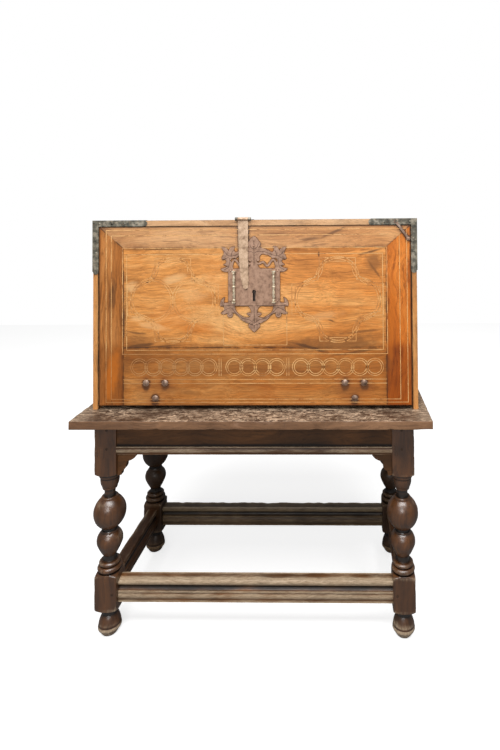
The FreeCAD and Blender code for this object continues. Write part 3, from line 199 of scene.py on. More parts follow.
def wood(name, along, tones, move, worn=None, grime=None, gloss=0.42, shine=0.5, flames=0.5,
         streaks=0.5, fleck=0.14, dull=0.35, relief=0.25, extra=None):
    """Old waxed wood with its fibres along one axis; its tones are light, middle and dark.

    Every noise is stretched along the fibres and bent sideways by one slow noise: broad bands,
    local dark flames, streaks, fine fibres and short pores. The attribute rub is above 0 where
    hands and feet wear the piece and where a highlight is painted on the rails' beads; it is
    below 0 in its hollows.
    """
    light, middle, dark = tones
    grime = grime or dark
    made, tree, surface, own = finish(name)
    log = step(tree, "Mapping", {"Vector": own, "Rotation": TURNS[along], "Location": move})
    slow = step(tree, "TexNoise", {"Vector": log, "Scale": 3.4, "Detail": 2}, "Color")
    push = vectors(tree, "SUBTRACT", slow, (0.5, 0.5, 0.5))
    bent = vectors(tree, "ADD", log, vectors(tree, "MULTIPLY", push, (0, 0.09, 0.09)))
    broad = cloud(tree, bent, (1.9, 12, 12), 6, 0.62, 0.5)
    colour = ramped(tree, broad, (0.34, light), (0.52, middle), (0.86, dark))
    flame = between(tree, cloud(tree, bent, (2.2, 24, 24), 6, 0.6, 0.7), 0.53, 0.66)
    place_of = between(tree, cloud(tree, own, 2.6, 2), 0.44, 0.58)
    colour = blended(tree, times(tree, flame, place_of), colour, dark, flames)
    lines = between(tree, cloud(tree, bent, (5.2, 150, 150), 6, 0.7, 0.2), 0.5, 0.66)
    colour = blended(tree, lines, colour, dark, streaks)
    fibres = cloud(tree, bent, (16, 300, 300), 5, 0.75)
    pores = cloud(tree, bent, (48, 1300, 1300), 2, 0.5)
    tone = step(tree, "MapRange", {0: fibres, 1: 0.32, 2: 0.68, 3: 1 - fleck, 4: 1 + fleck})
    colour = vectors(tree, "MULTIPLY", colour, tone)
    holes = between(tree, pores, 0.58, 0.72)
    colour = blended(tree, holes, colour, dark, 0.3)
    stains = between(tree, cloud(tree, own, 9, 6, 0.7), 0.5, 0.78)
    colour = blended(tree, stains, colour, grime, dull)
    if worn:
        rub = step(tree, "Attribute", out="Fac", attribute_name="rub")
        broken = cloud(tree, bent, (14, 120, 120), 6, 0.75)
        scratched = between(tree, cloud(tree, bent, (32, 420, 420), 5, 0.75), 0.36, 0.62)
        scratched = sums(tree, "ADD", times(tree, scratched, 0.5), 0.42)
        # pale where rub is high: wear, and on the rails' beads also a painted highlight
        bared = between(tree, sums(tree, "ADD", rub, broken), 0.75, 1.5)
        hidden = between(tree, times(tree, rub, -1), 0, 0.7)
        colour = blended(tree, bared, colour, worn, scratched)
        colour = blended(tree, hidden, colour, grime, 0.92)
    if extra:
        colour = extra(tree, own, colour)
    rough = step(tree, "MapRange", {0: broad, 1: 0.3, 2: 0.7, 3: gloss - 0.06, 4: gloss + 0.1})
    height = sums(tree, "ADD", fibres, times(tree, holes, -0.6))
    height = sums(tree, "ADD", height, times(tree, cloud(tree, own, 35, 4), 2))
    bump = step(tree, "Bump", {"Height": height, "Strength": relief, "Distance": 0.0012})
    fill(tree, surface, {
        "Base Color": colour, "Roughness": rough, "Specular IOR Level": shine, "Normal": bump,
    })
    return made


def unevenness(points, size, seed):
    """Smooth chance height, mostly between -1 and 1: a sum of sine waves through space, near
    size metres long, whose directions and phases come from one seed."""
    draw = np.random.default_rng(seed)
    way = draw.normal(size=(20, 3))
    way /= np.linalg.norm(way, axis=1)[:, None] * size * draw.uniform(0.6, 1.7, 20)[:, None]
    phase = draw.uniform(0, math.tau, 20)
    return np.sin(points @ way.T * math.tau + phase).sum(-1) / math.sqrt(20)


def unit(ways):
    """The directions of some vectors, each of length 1."""
    return ways / np.linalg.norm(ways, axis=-1)[..., None]


def in_room(name, data):
    """A new object of the scene."""
    made = bpy.data.objects.new(name, data)
    bpy.context.scene.collection.objects.link(made)
    return made


def surface_of(name, grid, rub):
    """A closed mesh from rows of points: neighbours share a face, the last column joins the
    first, and a fan to its middle closes each end. Edges over SHARP degrees stay sharp."""
    rows, columns = grid.shape[:2]
    index = np.arange(rows * columns).reshape(rows, columns)
    beside = np.roll(index, -1, axis=1)
    faces = np.stack([index[:-1], beside[:-1], beside[1:], index[1:]], -1).reshape(-1, 4).tolist()
    points = np.concatenate([grid.reshape(-1, 3), [grid[0].mean(0), grid[-1].mean(0)]])
    wear = np.concatenate([rub.reshape(-1), [0, 0]])
    first, last = np.full(columns, rows * columns), np.full(columns, rows * columns + 1)
    faces += np.stack([beside[0], index[0], first], -1).tolist()
    faces += np.stack([index[-1], beside[-1], last], -1).tolist()
    mesh = bpy.data.meshes.new(name)
    mesh.from_pydata(points.tolist(), [], faces)
    mesh.attributes.new("rub", "FLOAT", "POINT").data.foreach_set("value", wear.astype(np.float32))
    work = bmesh.new()
    work.from_mesh(mesh)
    bmesh.ops.recalc_face_normals(work, faces=work.faces)
    work.to_mesh(mesh)
    work.free()
    mesh.shade_smooth()
    mesh.set_sharp_from_angle(angle=math.radians(SHARP))
    return in_room(name, mesh)


def place(made, look, body, slot_name, *replaced):
    """Gives a new piece its finish, its body and the nodes that it stands for."""
    made.data.materials.clear()
    made.data.materials.append(look)
    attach(made, body)
    if replaced:
        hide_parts(*replaced)


def dress(look, *names):
    """Gives nodes of the solid model their finish."""
    for name in names:
        pieces[name].data.materials.clear()
        pieces[name].data.materials.append(look)


def turned_rows(members, low, high):
    """Radius and height of an outline's rows: each member is the arc through its low, middle
    and high radius. One whose middle lies between the others is an arc of nearly no bulge."""
    scale = (high - low) / sum(row[0] for row in members)
    rows, z = [], low
    for tall, a, b, c in members:
        tall, a, b, c = tall * scale, a * MM, b * MM, c * MM
        bulge = b - (a + c) / 2
        bulge = bulge if abs(bulge) > STRAIGHT else STRAIGHT
        span = math.hypot(c - a, tall)
        radius = (span ** 2 / 4 + bulge ** 2) / (2 * abs(bulge))
        half = math.asin(min(1, span / 2 / radius))
        turn = half * np.linspace(-1, 1, max(3, math.ceil(tall / (2.4 * MM))))
        out = math.copysign(1, bulge) * radius * (np.cos(turn) - math.cos(half))
        on, along = radius * np.sin(turn), ((c - a) / span, tall / span)
        rows.append([
            (a + c) / 2 + along[0] * on + along[1] * out,
            z + tall / 2 + along[1] * on - along[0] * out,
        ])
        z += tall
    return np.concatenate(rows, 1)


def bulged(start, middle, end, count=9):
    """Points on the curve through three points: quadratic in t."""
    t = np.linspace(0, 1, count)[:, None]
    start, middle, end = np.array(start), np.array(middle), np.array(end)
    return start * (1 - t) * (1 - 2 * t) + 4 * middle * t * (1 - t) + end * t * (2 * t - 1)


def block_rows(low, high, round_high):
    """Rows of a square block: a radius past the corners, drawn in at its rounded shoulders."""
    corner = POST_HALF * math.sqrt(2) + 1 * MM
    middle = SHOULDER_RADIUS + (corner - SHOULDER_RADIUS) * SHOULDER_BULGE
    arc = bulged((SHOULDER_RADIUS, 0), (middle, SHOULDER_HIGH / 2), (corner, SHOULDER_HIGH))
    inner_low, inner_high = low + SHOULDER_HIGH, high - SHOULDER_HIGH * round_high
    straight = np.linspace(inner_low, inner_high, math.ceil((inner_high - inner_low) / (5 * MM)))
    rows = [arc + [0, low], np.stack([np.full(len(straight), corner), straight], -1)]
    if round_high:
        rows.append(arc[::-1] * [1, -1] + [0, high])
    return np.concatenate(rows).T


def leg(name, x, y, seed):
    """A leg: the turned rows are round; in the blocks the radius at each direction is at most
    the square's, which is its half width over the 30th root of |cos|^30 + |sin|^30."""
    rows = [
        turned_rows(FOOT_MEMBERS, 0, BLOCK_LOW),
        block_rows(BLOCK_LOW, BLOCK_HIGH, True),
        turned_rows(SHAFT_MEMBERS, BLOCK_HIGH, POST_LOW),
        block_rows(POST_LOW, TABLE_HIGH - TABLE_THICK, False),
    ]
    outline, heights = (np.concatenate([row[part] for row in rows]) for part in (0, 1))
    in_block = np.repeat([False, True, False, True], [len(row[0]) for row in rows])
    side = np.linspace(-1, 1, SIDE_POINTS)
    side = np.sign(side) * np.abs(side) ** SIDE_CROWDING * math.pi / 4
    angle = np.concatenate([side[:-1] + quarter * math.pi / 2 for quarter in range(4)])
    cosine, sine = np.abs(np.cos(angle)), np.abs(np.sin(angle))
    square = POST_HALF / (cosine ** POWER + sine ** POWER) ** (1 / POWER)
    square = np.where(in_block[:, None], square[None, :], outline.max() * 2)
    radius = np.minimum(outline[:, None], square)
    points = np.stack([
        x + radius * np.cos(angle), y + radius * np.sin(angle),
        np.broadcast_to(heights[:, None], radius.shape),
    ], -1)
    mean = radius.mean(1)
    near = np.exp(-((heights[:, None] - heights[None, :]) / HOLLOW_SPREAD) ** 2)
    smoothed = near @ mean / near.sum(1)
    hollow = np.clip((mean - smoothed) / HOLLOW_DEEP, -1, 1)
    ridge = np.clip((radius - CORNER_FROM) / CORNER_FADE, 0, 1) * in_block[:, None]
    knocks = np.clip(unevenness(points, 0.045, seed), 0, 2)
    fine = unevenness(points, 0.012, seed + 1)
    rings = sum(np.exp(-((heights - ring) / RING_WIDE) ** 2) for ring in FOOT_RINGS)[:, None]
    inward = knocks * ridge * KNOCK_DEEP + (0.25 + 0.25 * fine) * DENT_DEEP + rings * RING_DEEP
    inward[0], inward[-1] = 0, 0
    shrink = 1 - inward / radius
    points[..., 0] = x + (points[..., 0] - x) * shrink
    points[..., 1] = y + (points[..., 1] - y) * shrink
    rub = np.where(hollow > 0, hollow * 0.45, hollow)[:, None] + ridge * 0.35
    rub += 0.15 * unevenness(points, 0.1, seed + 2)
    rub += np.clip((FOOT_WORN - points[..., 2]) / FOOT_FADE, 0, 1) * 0.8 - rings * 1.6
    return surface_of(name, points, rub)


OAK = (112, 70, 36), (82, 50, 25), (32, 19, 10)
OAK_WORN, OAK_GRIME = (202, 178, 148), (16, 10, 6)
oak_upright = wood(
    "dark_oak_upright", "z", OAK, (0.3, 0.13, 0.21),
    worn=OAK_WORN, grime=OAK_GRIME, gloss=0.3, shine=1, flames=0.4, relief=0.12,
)
# the back legs: darker tones as painted shade under the table, and less wear
oak_shaded_unrubbed = wood(
    "dark_oak_shaded_unrubbed", "z", ((82, 52, 27), (60, 38, 18), (26, 15, 8)), (0.5, 0.3, 0.11),
    worn=(150, 122, 92), grime=OAK_GRIME, gloss=0.38, flames=0.4, relief=0.15,
)
for label, at_x, at_y, seed, look in (
    ("front_left", -LEG_X, LEG_FRONT_Y, 3, oak_upright),
    ("front_right", LEG_X, LEG_FRONT_Y, 17, oak_upright),
    ("back_left", -LEG_X, LEG_BACK_Y, 29, oak_shaded_unrubbed),
    ("back_right", LEG_X, LEG_BACK_Y, 41, oak_shaded_unrubbed),
):
    place(leg("turned_" + label, at_x, at_y, seed), look, *STAND, "leg_" + label)

# Aprons and brackets.
# Oak boards pegged between the posts, with a groove and a rounded moulding run along the lower
# edge. A small ogee bracket is set under each end.
APRON_HIGH, APRON_THICK, APRON_BACK = 108 * MM, 30 * MM, 29.5 * MM
MOULD_HIGH, MOULD_PROUD, MOULD_GROOVE = 27 * MM, 4.5 * MM, 3 * MM
IN_POST, APRON_ROUND, FOOT_ROUND = 2 * MM, 0.8 * MM, 0.6 * MM
LONG_HALF = LEG_X - POST_HALF + IN_POST
SHORT_HALF = (LEG_BACK_Y - LEG_FRONT_Y) / 2 - POST_HALF + IN_POST
MIDDLE_Y = (LEG_FRONT_Y + LEG_BACK_Y) / 2
DIRECTIONS = {
    "front": ((1, 0), (0, -1), (0, LEG_FRONT_Y), LONG_HALF),
    "back": ((-1, 0), (0, 1), (0, LEG_BACK_Y), LONG_HALF),
    "left": ((0, -1), (-1, 0), (-LEG_X, MIDDLE_Y), SHORT_HALF),
    "right": ((0, 1), (1, 0), (LEG_X, MIDDLE_Y), SHORT_HALF),
}


def rounded(corners, radius):
    """A closed outline with a short curve at every corner: between the points at radius before
    and after it, the weights are (1-t)^2, 2t(1-t) and t^2."""
    corners = np.array(corners, float)
    before, after = np.roll(corners, 1, 0), np.roll(corners, -1, 0)
    t = np.linspace(0, 1, 4)[None, :, None]
    arms = []
    for other in (before, after):
        way = other - corners
        long = np.linalg.norm(way, axis=1)[:, None]
        arms.append(corners + way / long * np.minimum(radius, long * 0.45))
    a, b = arms[0][:, None], arms[1][:, None]
    return ((1 - t) ** 2 * a + 2 * t * (1 - t) * corners[:, None] + t ** 2 * b).reshape(-1, 2)


def filled(outline, gap):
    """A closed outline with points added so that none are further apart than gap."""
    after = np.roll(outline, -1, 0)
    made = []
    for start, end in zip(outline, after):
        count = max(1, math.ceil(np.linalg.norm(end - start) / gap))
        made.append(start + (end - start) * (np.arange(count) / count)[:, None])
    return np.concatenate(made)


def carried(outline, where, wear, seed, gap=7 * MM):
    """A rail: the outline (out, up) carried along it from -half to half, with edges worn by
    smooth chance. The point at u is the rail's middle + u along + the outline's out and up."""
    along, out, middle, half = (np.array(v) for v in DIRECTIONS[where])
    u = np.linspace(-half, half, round(2 * half / gap))
    flat = middle[None, None, :] + u[:, None, None] * along + outline[None, :, :1] * out
    up = np.broadcast_to(outline[None, :, 1:], flat.shape[:2] + (1,))
    points = np.concatenate([flat, up], -1)
    toward = unit((outline.max(0) + outline.min(0)) / 2 - outline)
    chance = np.clip(unevenness(points, 0.06, seed), -0.4, 2) + 0.4
    fine = unevenness(points, 0.016, seed + 1) * 0.3 + 0.3
    inward = chance * wear[None, :] + fine * 0.35 * MM
    points[..., :2] += (inward * toward[None, :, 0])[..., None] * out
    points[..., 2] += inward * toward[None, :, 1]
    return points


def rub_of(outline, spread, strength):
    """How far each point of a closed outline stands out from the outline smoothed by spread:
    above 0 on ridges, below 0 in grooves."""
    after = np.roll(outline, -1, 0)
    long = np.linalg.norm(after - outline, axis=1)
    s = np.concatenate([[0], np.cumsum(long)[:-1]])
    apart = np.abs(s[:, None] - s[None, :])
    apart = np.minimum(apart, long.sum() - apart)
    near = np.exp(-(apart / spread) ** 2) * long[None, :]
    smoothed = near @ outline / near.sum(1)[:, None]
    ahead = after - np.roll(outline, 1, 0)
    area = (outline[:, 0] * after[:, 1] - after[:, 0] * outline[:, 1]).sum()
    outward = unit(np.stack([ahead[:, 1], -ahead[:, 0]], -1)) * math.copysign(1, area)
    return np.clip(((outline - smoothed) * outward).sum(1) / strength, -1, 1)


apron_low = TABLE_HIGH - TABLE_THICK - APRON_HIGH
apron_high, mould = apron_low + APRON_HIGH, apron_low + MOULD_HIGH
face, back, proud = APRON_BACK, APRON_BACK - APRON_THICK, APRON_BACK + MOULD_PROUD
groove, foot = mould - MOULD_GROOVE, apron_low + MOULD_GROOVE
apron_outline = np.concatenate([
    rounded([
        (back, apron_low), (back, apron_high), (face, apron_high), (face, mould),
        (proud, mould), (proud, groove), (face, groove),
    ], APRON_ROUND),
    bulged((face, groove), (proud, apron_low + MOULD_HIGH / 2), (face, foot), 12),
    rounded([(face, foot), (face, apron_low)], FOOT_ROUND)[4:],
])
apron_outline = filled(apron_outline, 9 * MM)
apron_rub = rub_of(apron_outline, 8 * MM, 1.6 * MM)
DUSTY = {"grime": OAK_GRIME, "gloss": 0.4, "shine": 0.4}
oak_along_x = wood(
    "dark_oak_along_x", "x", ((126, 82, 44), (94, 60, 31), (38, 24, 13)), (0.1, 0.22, 0.3),
    worn=OAK_WORN, **DUSTY,
)
oak_along_y = wood("dark_oak_along_y", "y", OAK, (0.5, 0.12, 0.2), worn=OAK_WORN, **DUSTY)
for where, look, seed in (
    ("front", oak_along_x, 5), ("back", oak_along_x, 6),
    ("left", oak_along_y, 7), ("right", oak_along_y, 8),
):
    points = carried(apron_outline, where, np.zeros(len(apron_outline)), seed)
    rub = np.broadcast_to(apron_rub, points.shape[:2]) + 0.15 * unevenness(points, 0.12, seed)
    apron = surface_of("moulded_apron_" + where, points, rub)
    place(apron, look, *STAND, "apron_" + where)
dress(oak_along_x, "apron_brackets")

# Stretchers.
# Four oak rails join the legs in a box near the floor, with a bead, a cove and a lower bead run
# on both faces. Feet have rubbed the top of the front rail and chewed its upper edge. The beads
# are painted paler, partly as wear and partly as a painted highlight.
RAIL_LOW, RAIL_HIGH, RAIL_HALF = 106 * MM, 72 * MM, 20 * MM

# half the section from the top down: bead, cove, fillet, bead and foot
rail_top = RAIL_LOW + RAIL_HIGH
out, inner, step_in = RAIL_HALF, RAIL_HALF - 3 * MM, RAIL_HALF - 6 * MM
bead, cove, fillet = rail_top - 17 * MM, rail_top - 34 * MM, rail_top - 40 * MM
lower = fillet - 22 * MM
face = np.concatenate([
    bulged((inner, rail_top), (out, (rail_top + bead) / 2), (inner, bead), 12),
    bulged((step_in, bead), (out - 10 * MM, (bead + cove) / 2), (inner, cove), 12),
    [(out, cove), (out, fillet), (inner, fillet)],
    bulged((inner, fillet), (out, (fillet + lower) / 2), (inner, lower), 12),
    [(inner, RAIL_LOW)],
])
rail_outline = filled(np.concatenate([face[::-1] * [-1, 1], face]), 8 * MM)
rail_rub = rub_of(rail_outline, 9 * MM, 2.4 * MM)

# feet wear the top outer edge deepest, and nothing below the upper bead
FEET_DEEP = 2.2 * MM
rail_out, rail_up = rail_outline.T
upper = np.clip((rail_up - rail_top + 14 * MM) / (14 * MM), 0, 1)
feet = upper * np.clip((rail_out + 6 * MM) / (16 * MM), 0, 1)
# the beads of every rail are painted paler: partly wear, partly a painted highlight where they
# catch the light from above
bead_wear_and_sheen = np.abs(rail_up - rail_top + 9 * MM) < 9 * MM
bead_wear_and_sheen |= np.abs(rail_up - RAIL_LOW - 17 * MM) < 14 * MM
oak_back_rail = wood(
    "dark_oak_back_rail", "x", ((112, 88, 62), (82, 63, 43), (32, 24, 16)), (0.4, 0.12, 0.2),
    worn=(150, 130, 102), **DUSTY,
)
for where, look, seed, deep in (
    ("front", oak_along_x, 51, 1), ("back", oak_back_rail, 52, 0.7),
    ("left", oak_along_y, 53, 0.4), ("right", oak_along_y, 54, 0.4),
):
    points = carried(rail_outline, where, feet * FEET_DEEP * deep, seed, 5 * MM)
    rub = np.maximum(rail_rub * np.where(rail_rub > 0, deep, 1), -0.6) + bead_wear_and_sheen * 0.7 * (deep - 0.2)
    rub = rub + (feet * 0.6 + 0.3 * (rail_up > rail_top - 3 * MM)) * deep
    rub = rub + 0.1 * unevenness(points, 0.09, seed)
    rail = surface_of("moulded_stretcher_" + where, points, rub)
    place(rail, look, *STAND, "stretcher_" + where)
pegs = (82, 58, 40), (62, 42, 29), (34, 23, 16)
dress(wood("dark_oak_pegs", "y", pegs, (0.2, 0.4, 0.1), gloss=0.45), "tenon_pegs")

# Table top.
# One oak board with a rubbed, scarred upper face. The dark polish has gone in patches in front
# of the case, and the long edges are knocked.
TOP_HALF_X, TOP_HALF_Y = 560 * MM, 280 * MM
END_ROUND, EDGE_ROUND, BOARD_GAP = 2 * MM, 2.2 * MM, 6 * MM
KNOCK_HIGH, KNOCK_SPREAD, SCAR_DEEP = 2.2 * MM, 5 * MM, 0.35 * MM

# from none to full: how far a face looks up, and metres from the middle towards the ends
LOOKS_UP, ENDS_BARE, ENDS_DUSTY = (0.6, 0.9), (0.49, 0.55), (0.47, 0.55)


def scuffs(tree, own, colour):
    """Pale scars where the dark polish of the upper face has gone, and dust at both ends."""
    facing = between(tree, parted(tree, step(tree, "NewGeometry", out="Normal"))[2], *LOOKS_UP)
    wide = sums(tree, "ABSOLUTE", parted(tree, own)[0])
    colour = blended(tree, facing, colour, (52, 34, 21), 0.9)
    patches = between(tree, cloud(tree, own, (42, 96, 34), 8, 0.82, 0.9), 0.45, 0.6)
    near = between(tree, cloud(tree, own, (6, 9, 6), 4, 0.6), 0.3, 0.54)
    bare = sums(tree, "MAXIMUM", near, between(tree, wide, *ENDS_BARE))
    bare = times(tree, times(tree, patches, facing), bare)
    colour = blended(tree, bare, colour, (208, 182, 154), 0.9)
    dusty = times(tree, between(tree, wide, *ENDS_DUSTY), facing)
    return blended(tree, dusty, colour, (178, 152, 126), 0.35)


board_low = TABLE_HIGH - TABLE_THICK
outline = filled(rounded([
    (-TOP_HALF_Y, board_low), (TOP_HALF_Y, board_low),
    (TOP_HALF_Y, TABLE_HIGH), (-TOP_HALF_Y, TABLE_HIGH),
], EDGE_ROUND), BOARD_GAP)

# the section goes along the board, drawn in on quarter circles at both ends, and is pushed in
# by smooth chance along its edges and on its upper face
turn = np.linspace(0, math.pi / 2, 4)
drawn, on = END_ROUND * (1 - np.sin(turn)), END_ROUND * (1 - np.cos(turn))
count, even = round(2 * TOP_HALF_X / BOARD_GAP), TOP_HALF_X - END_ROUND - BOARD_GAP
x = np.concatenate([on - TOP_HALF_X, np.linspace(-even, even, count), (TOP_HALF_X - on)[::-1]])
drawn = np.concatenate([drawn, np.zeros(count), drawn[::-1]])
centre, half = (outline.max(0) + outline.min(0)) / 2, (outline.max(0) - outline.min(0)) / 2
flat = centre + (outline - centre)[None] * (1 - drawn[:, None, None] / half)
points = np.concatenate([np.broadcast_to(x[:, None, None], flat.shape[:2] + (1,)), flat], -1)
from_edge = TOP_HALF_Y - np.abs(points[..., 1])
from_any = np.minimum(from_edge, TOP_HALF_X - np.abs(points[..., 0]))
corner = np.exp(-(from_any / KNOCK_SPREAD) ** 2)
knock = np.clip(unevenness(points, 0.05, 71) - 0.3, 0, 2) * corner * KNOCK_HIGH
points[..., 1] -= np.sign(points[..., 1]) * (from_edge < 6 * MM) * knock
up = points[..., 2] > centre[1]
points[..., 2] += np.where(up, -1, 1) * knock * 0.7
points[..., 2] -= up * (unevenness(points, 0.03, 72) + 1.5).clip(0, 3) * SCAR_DEEP
top_oak = wood(
    "scarred_table_oak", "x", ((152, 112, 80), (124, 88, 60), (76, 50, 34)), (0.7, 0.31, 0.12),
    worn=(165, 134, 102), grime=(52, 38, 28), gloss=0.5, dull=0.5, relief=0.5, extra=scuffs,
)
table_board = surface_of("scarred_table_board", points, corner * 0.25)
place(table_board, top_oak, *STAND, "table_top")

# Case.
# Walnut boards joined at the corners with through dovetails: the tails are cut on the sides, and
# the pins of the top and bottom show as end grain. The fibres of the sides stand upright.
WALNUT = (226, 182, 136), (198, 150, 104), (110, 72, 42)
WALNUT_GRIME = (92, 58, 34)

# from none to full painted shade and dirt: metres across to the inner faces of the sides, and
# towards the front
SIDE_GAP_SHADE, SIDE_FRONT, BASE_FRONT = (0.517, 0.5125), (-0.166, -0.182), (-0.14, -0.16)


def gap_shade_and_dirt(tree, own, colour):
    """Painted shade, with black dirt, on the inner arris of each side, in the gap beside the fall.
    """
    across, along, _ = parted(tree, own)
    inside = between(tree, sums(tree, "ABSOLUTE", across), *SIDE_GAP_SHADE)
    inside = times(tree, inside, between(tree, along, *SIDE_FRONT))
    broken = between(tree, cloud(tree, own, (60, 60, 24), 5, 0.7), 0.3, 0.56)
    broken = sums(tree, "ADD", times(tree, broken, 0.5), 0.45)
    return blended(tree, inside, colour, (26, 16, 10), broken)


def shaded_front(tree, own, colour):
    """Painted shade, with soot-dark dirt, on the front edge of the bottom board, in the gap under
    the fall.
    """
    return blended(tree, between(tree, parted(tree, own)[1], *BASE_FRONT), colour, (16, 11, 8))


dress(wood(
    "case_walnut_across", "x", WALNUT, (0.2, 0.5, 0.4), grime=WALNUT_GRIME, gloss=0.46, dull=0.4,
), "case_top", "case_back")
dress(wood(
    "case_walnut_upright", "z", ((238, 178, 112), (212, 146, 82), WALNUT[2]), (0.6, 0.2, 0.15),
    grime=WALNUT_GRIME, gloss=0.46, shine=0.36, dull=0.5, extra=gap_shade_and_dirt,
), "case_left_side", "case_right_side")
dress(wood(
    "case_walnut_base", "x", WALNUT, (0.5, 0.3, 0.1),
    grime=WALNUT_GRIME, gloss=0.5, dull=0.4, extra=shaded_front,
), "case_bottom")

# Drawers.
# Behind the fall, a nest of eleven small walnut drawers on housed shelves, each with a thin pale
# line let in round its front and a turned bone knob.
drawer_walnut = wood(
    "drawer_walnut", "x", ((200, 140, 86), (168, 108, 60), (84, 50, 28)), (0.4, 0.3, 0.5),
    grime=(74, 46, 28),
)
for name in pieces:
    if name.startswith(("drawer_", "partition_")) and name != "drawer_knobs":
        dress(drawer_walnut, name)

# old polished bone: cream, with yellow clouds and fine brown lines
bone, tree, surface, own = finish("old_bone")
clouds = between(tree, cloud(tree, own, 60, 4), 0.35, 0.7)
lines = between(tree, cloud(tree, own, (200, 900, 200), 3), 0.6, 0.75)
colour = blended(tree, clouds, (232, 218, 186), (204, 178, 128))
colour = blended(tree, lines, colour, (120, 84, 50), 0.5)
fill(tree, surface, {"Base Color": colour, "Roughness": 0.3})
dress(bone, "drawer_knobs")

# Fall front.
# A wide walnut panel in a mitred frame of two stiles and a top rail. The polish is honey in the
# middle and redder on the frame, with dirt in the joints and painted shade round the ironwork
# and along the outer edges.
CASE_FRONT = -186 * MM
FALL_HALF, PANEL_HALF = 510 * MM, 430 * MM
FALL_LOW, FALL_TOP, PANEL_TOP, BOARD_JOINT = 728 * MM, 1310.5 * MM, 1240.5 * MM, 916 * MM
STUD_X, STUD_SPREAD, STUD_LOW, STUD_HIGH = 325 * MM, 31 * MM, 751 * MM, 801 * MM

# from none to full, in metres: places on the fall, and distances from joint, edge and stud
REDDER, BROWNER = (-0.15, 0.3), (BOARD_JOINT + 0.03, BOARD_JOINT - 0.01)
JOINT_DIRT, JOINT_BROWN, EDGE_SHADE_AND_DIRT = (0.003, 0.0008), (0.022, 0), (0.006, 0.001)
RUST_HALO, RUST_CORE = (0.054, 0.02), (0.029, 0.02)

# flames of the grain, knots, dirt-filled grooves and faded places, seen from the front:
# millimetres across and up from the table, degrees, half length, half width, strength, tint
BROWN, DARK, ORANGE, PALE = (132, 84, 42), (74, 48, 30), (206, 112, 26), (240, 198, 142)
FALL_MARKS = [
    (178, 552, 4, 46, 6, 0.6, DARK), (262, 574, 24, 56, 6, 0.7, DARK),
    (215, 560, 12, 110, 16, 0.4, BROWN), (377, 508, 14, 52, 5, 0.75, DARK),
    (392, 452, -56, 44, 5, 0.55, DARK), (392, 474, 0, 38, 40, 0.7, BROWN),
    (266, 214, 3, 185, 34, 0.75, BROWN), (178, 200, -16, 88, 7, 0.7, DARK),
    (345, 250, 6, 90, 6, 0.55, DARK), (338, 186, 9, 96, 6, 0.6, DARK),
    (212, 502, 90, 12, 4, 0.85, DARK), (250, 286, -15, 16, 3, 0.8, DARK),
    (-388, 249, -6, 46, 5, 0.65, DARK), (-372, 208, 6, 66, 8, 0.7, DARK),
    (-385, 228, 0, 56, 24, 0.45, BROWN), (-427, 280, 88, 90, 6, 0.6, DARK),
    (-466, 363, 88, 76, 15, 0.55, DARK), (-350, 415, 30, 8, 5, 0.8, DARK),
    (-280, 522, 1, 160, 3, 0.75, DARK), (-280, 505, 0, 160, 2.5, 0.6, DARK),
    (-330, 203, 3, 120, 3, 0.7, DARK), (-468, 110, 80, 110, 26, 0.6, ORANGE),
    (448, 300, 88, 230, 12, 0.4, ORANGE), (-280, 300, 20, 90, 60, 0.35, ORANGE),
    (-402, 400, 20, 34, 20, 0.45, PALE), (-262, 424, 12, 46, 20, 0.45, PALE),
    (-385, 296, 8, 34, 14, 0.4, PALE), (-330, 270, -12, 60, 14, 0.35, PALE),
    (-200, 372, 0, 60, 30, 0.25, PALE), (228, 300, 10, 70, 20, 0.25, PALE),
    (-180, 262, 0, 70, 22, 0.4, ORANGE), (0, 138, 0, 520, 48, 0.42, BROWN),
    (300, 62, 5, 120, 22, 0.35, BROWN), (-250, 60, -8, 110, 14, 0.4, BROWN),
]


def apart(tree, first, second):
    """How far apart two values are."""
    return sums(tree, "ABSOLUTE", less(tree, first, second))


def least(tree, first, *others):
    """The least of some values."""
    for other in others:
        first = sums(tree, "MINIMUM", first, other)
    return first


def from_joints(tree, wide, z):
    """Distance on the fall's face from the nearest joint: the panel's sides and top, the joint
    of its lowest board, and the frame's mitres. Each is a line, level past its end."""
    past_side = less(tree, wide, PANEL_HALF)
    past_top = less(tree, z, PANEL_TOP)
    slope = (FALL_TOP - PANEL_TOP) / (FALL_HALF - PANEL_HALF)
    mitre = times(tree, apart(tree, past_top, times(tree, past_side, slope)), 0.75)
    joints = (
        (apart(tree, wide, PANEL_HALF), past_top), (apart(tree, z, PANEL_TOP), past_side),
        (apart(tree, z, BOARD_JOINT), past_side), (mitre, times(tree, past_side, -1)),
    )
    return least(tree, *(sums(tree, "MAXIMUM", across, end) for across, end in joints))


def from_studs(tree, wide, z):
    """Distance from the middle of the nearest hinge stud, less below it, where rust runs."""
    nearest = 1
    for off_x, height in ((0, STUD_LOW), (-STUD_SPREAD, STUD_HIGH), (STUD_SPREAD, STUD_HIGH)):
        across = less(tree, wide, STUD_X + off_x)
        up = less(tree, z, height)
        up = sums(tree, "MAXIMUM", up, times(tree, up, -0.6))
        square = sums(tree, "ADD", times(tree, across, across), times(tree, up, up))
        nearest = least(tree, sums(tree, "POWER", square, 0.5), nearest)
    return nearest


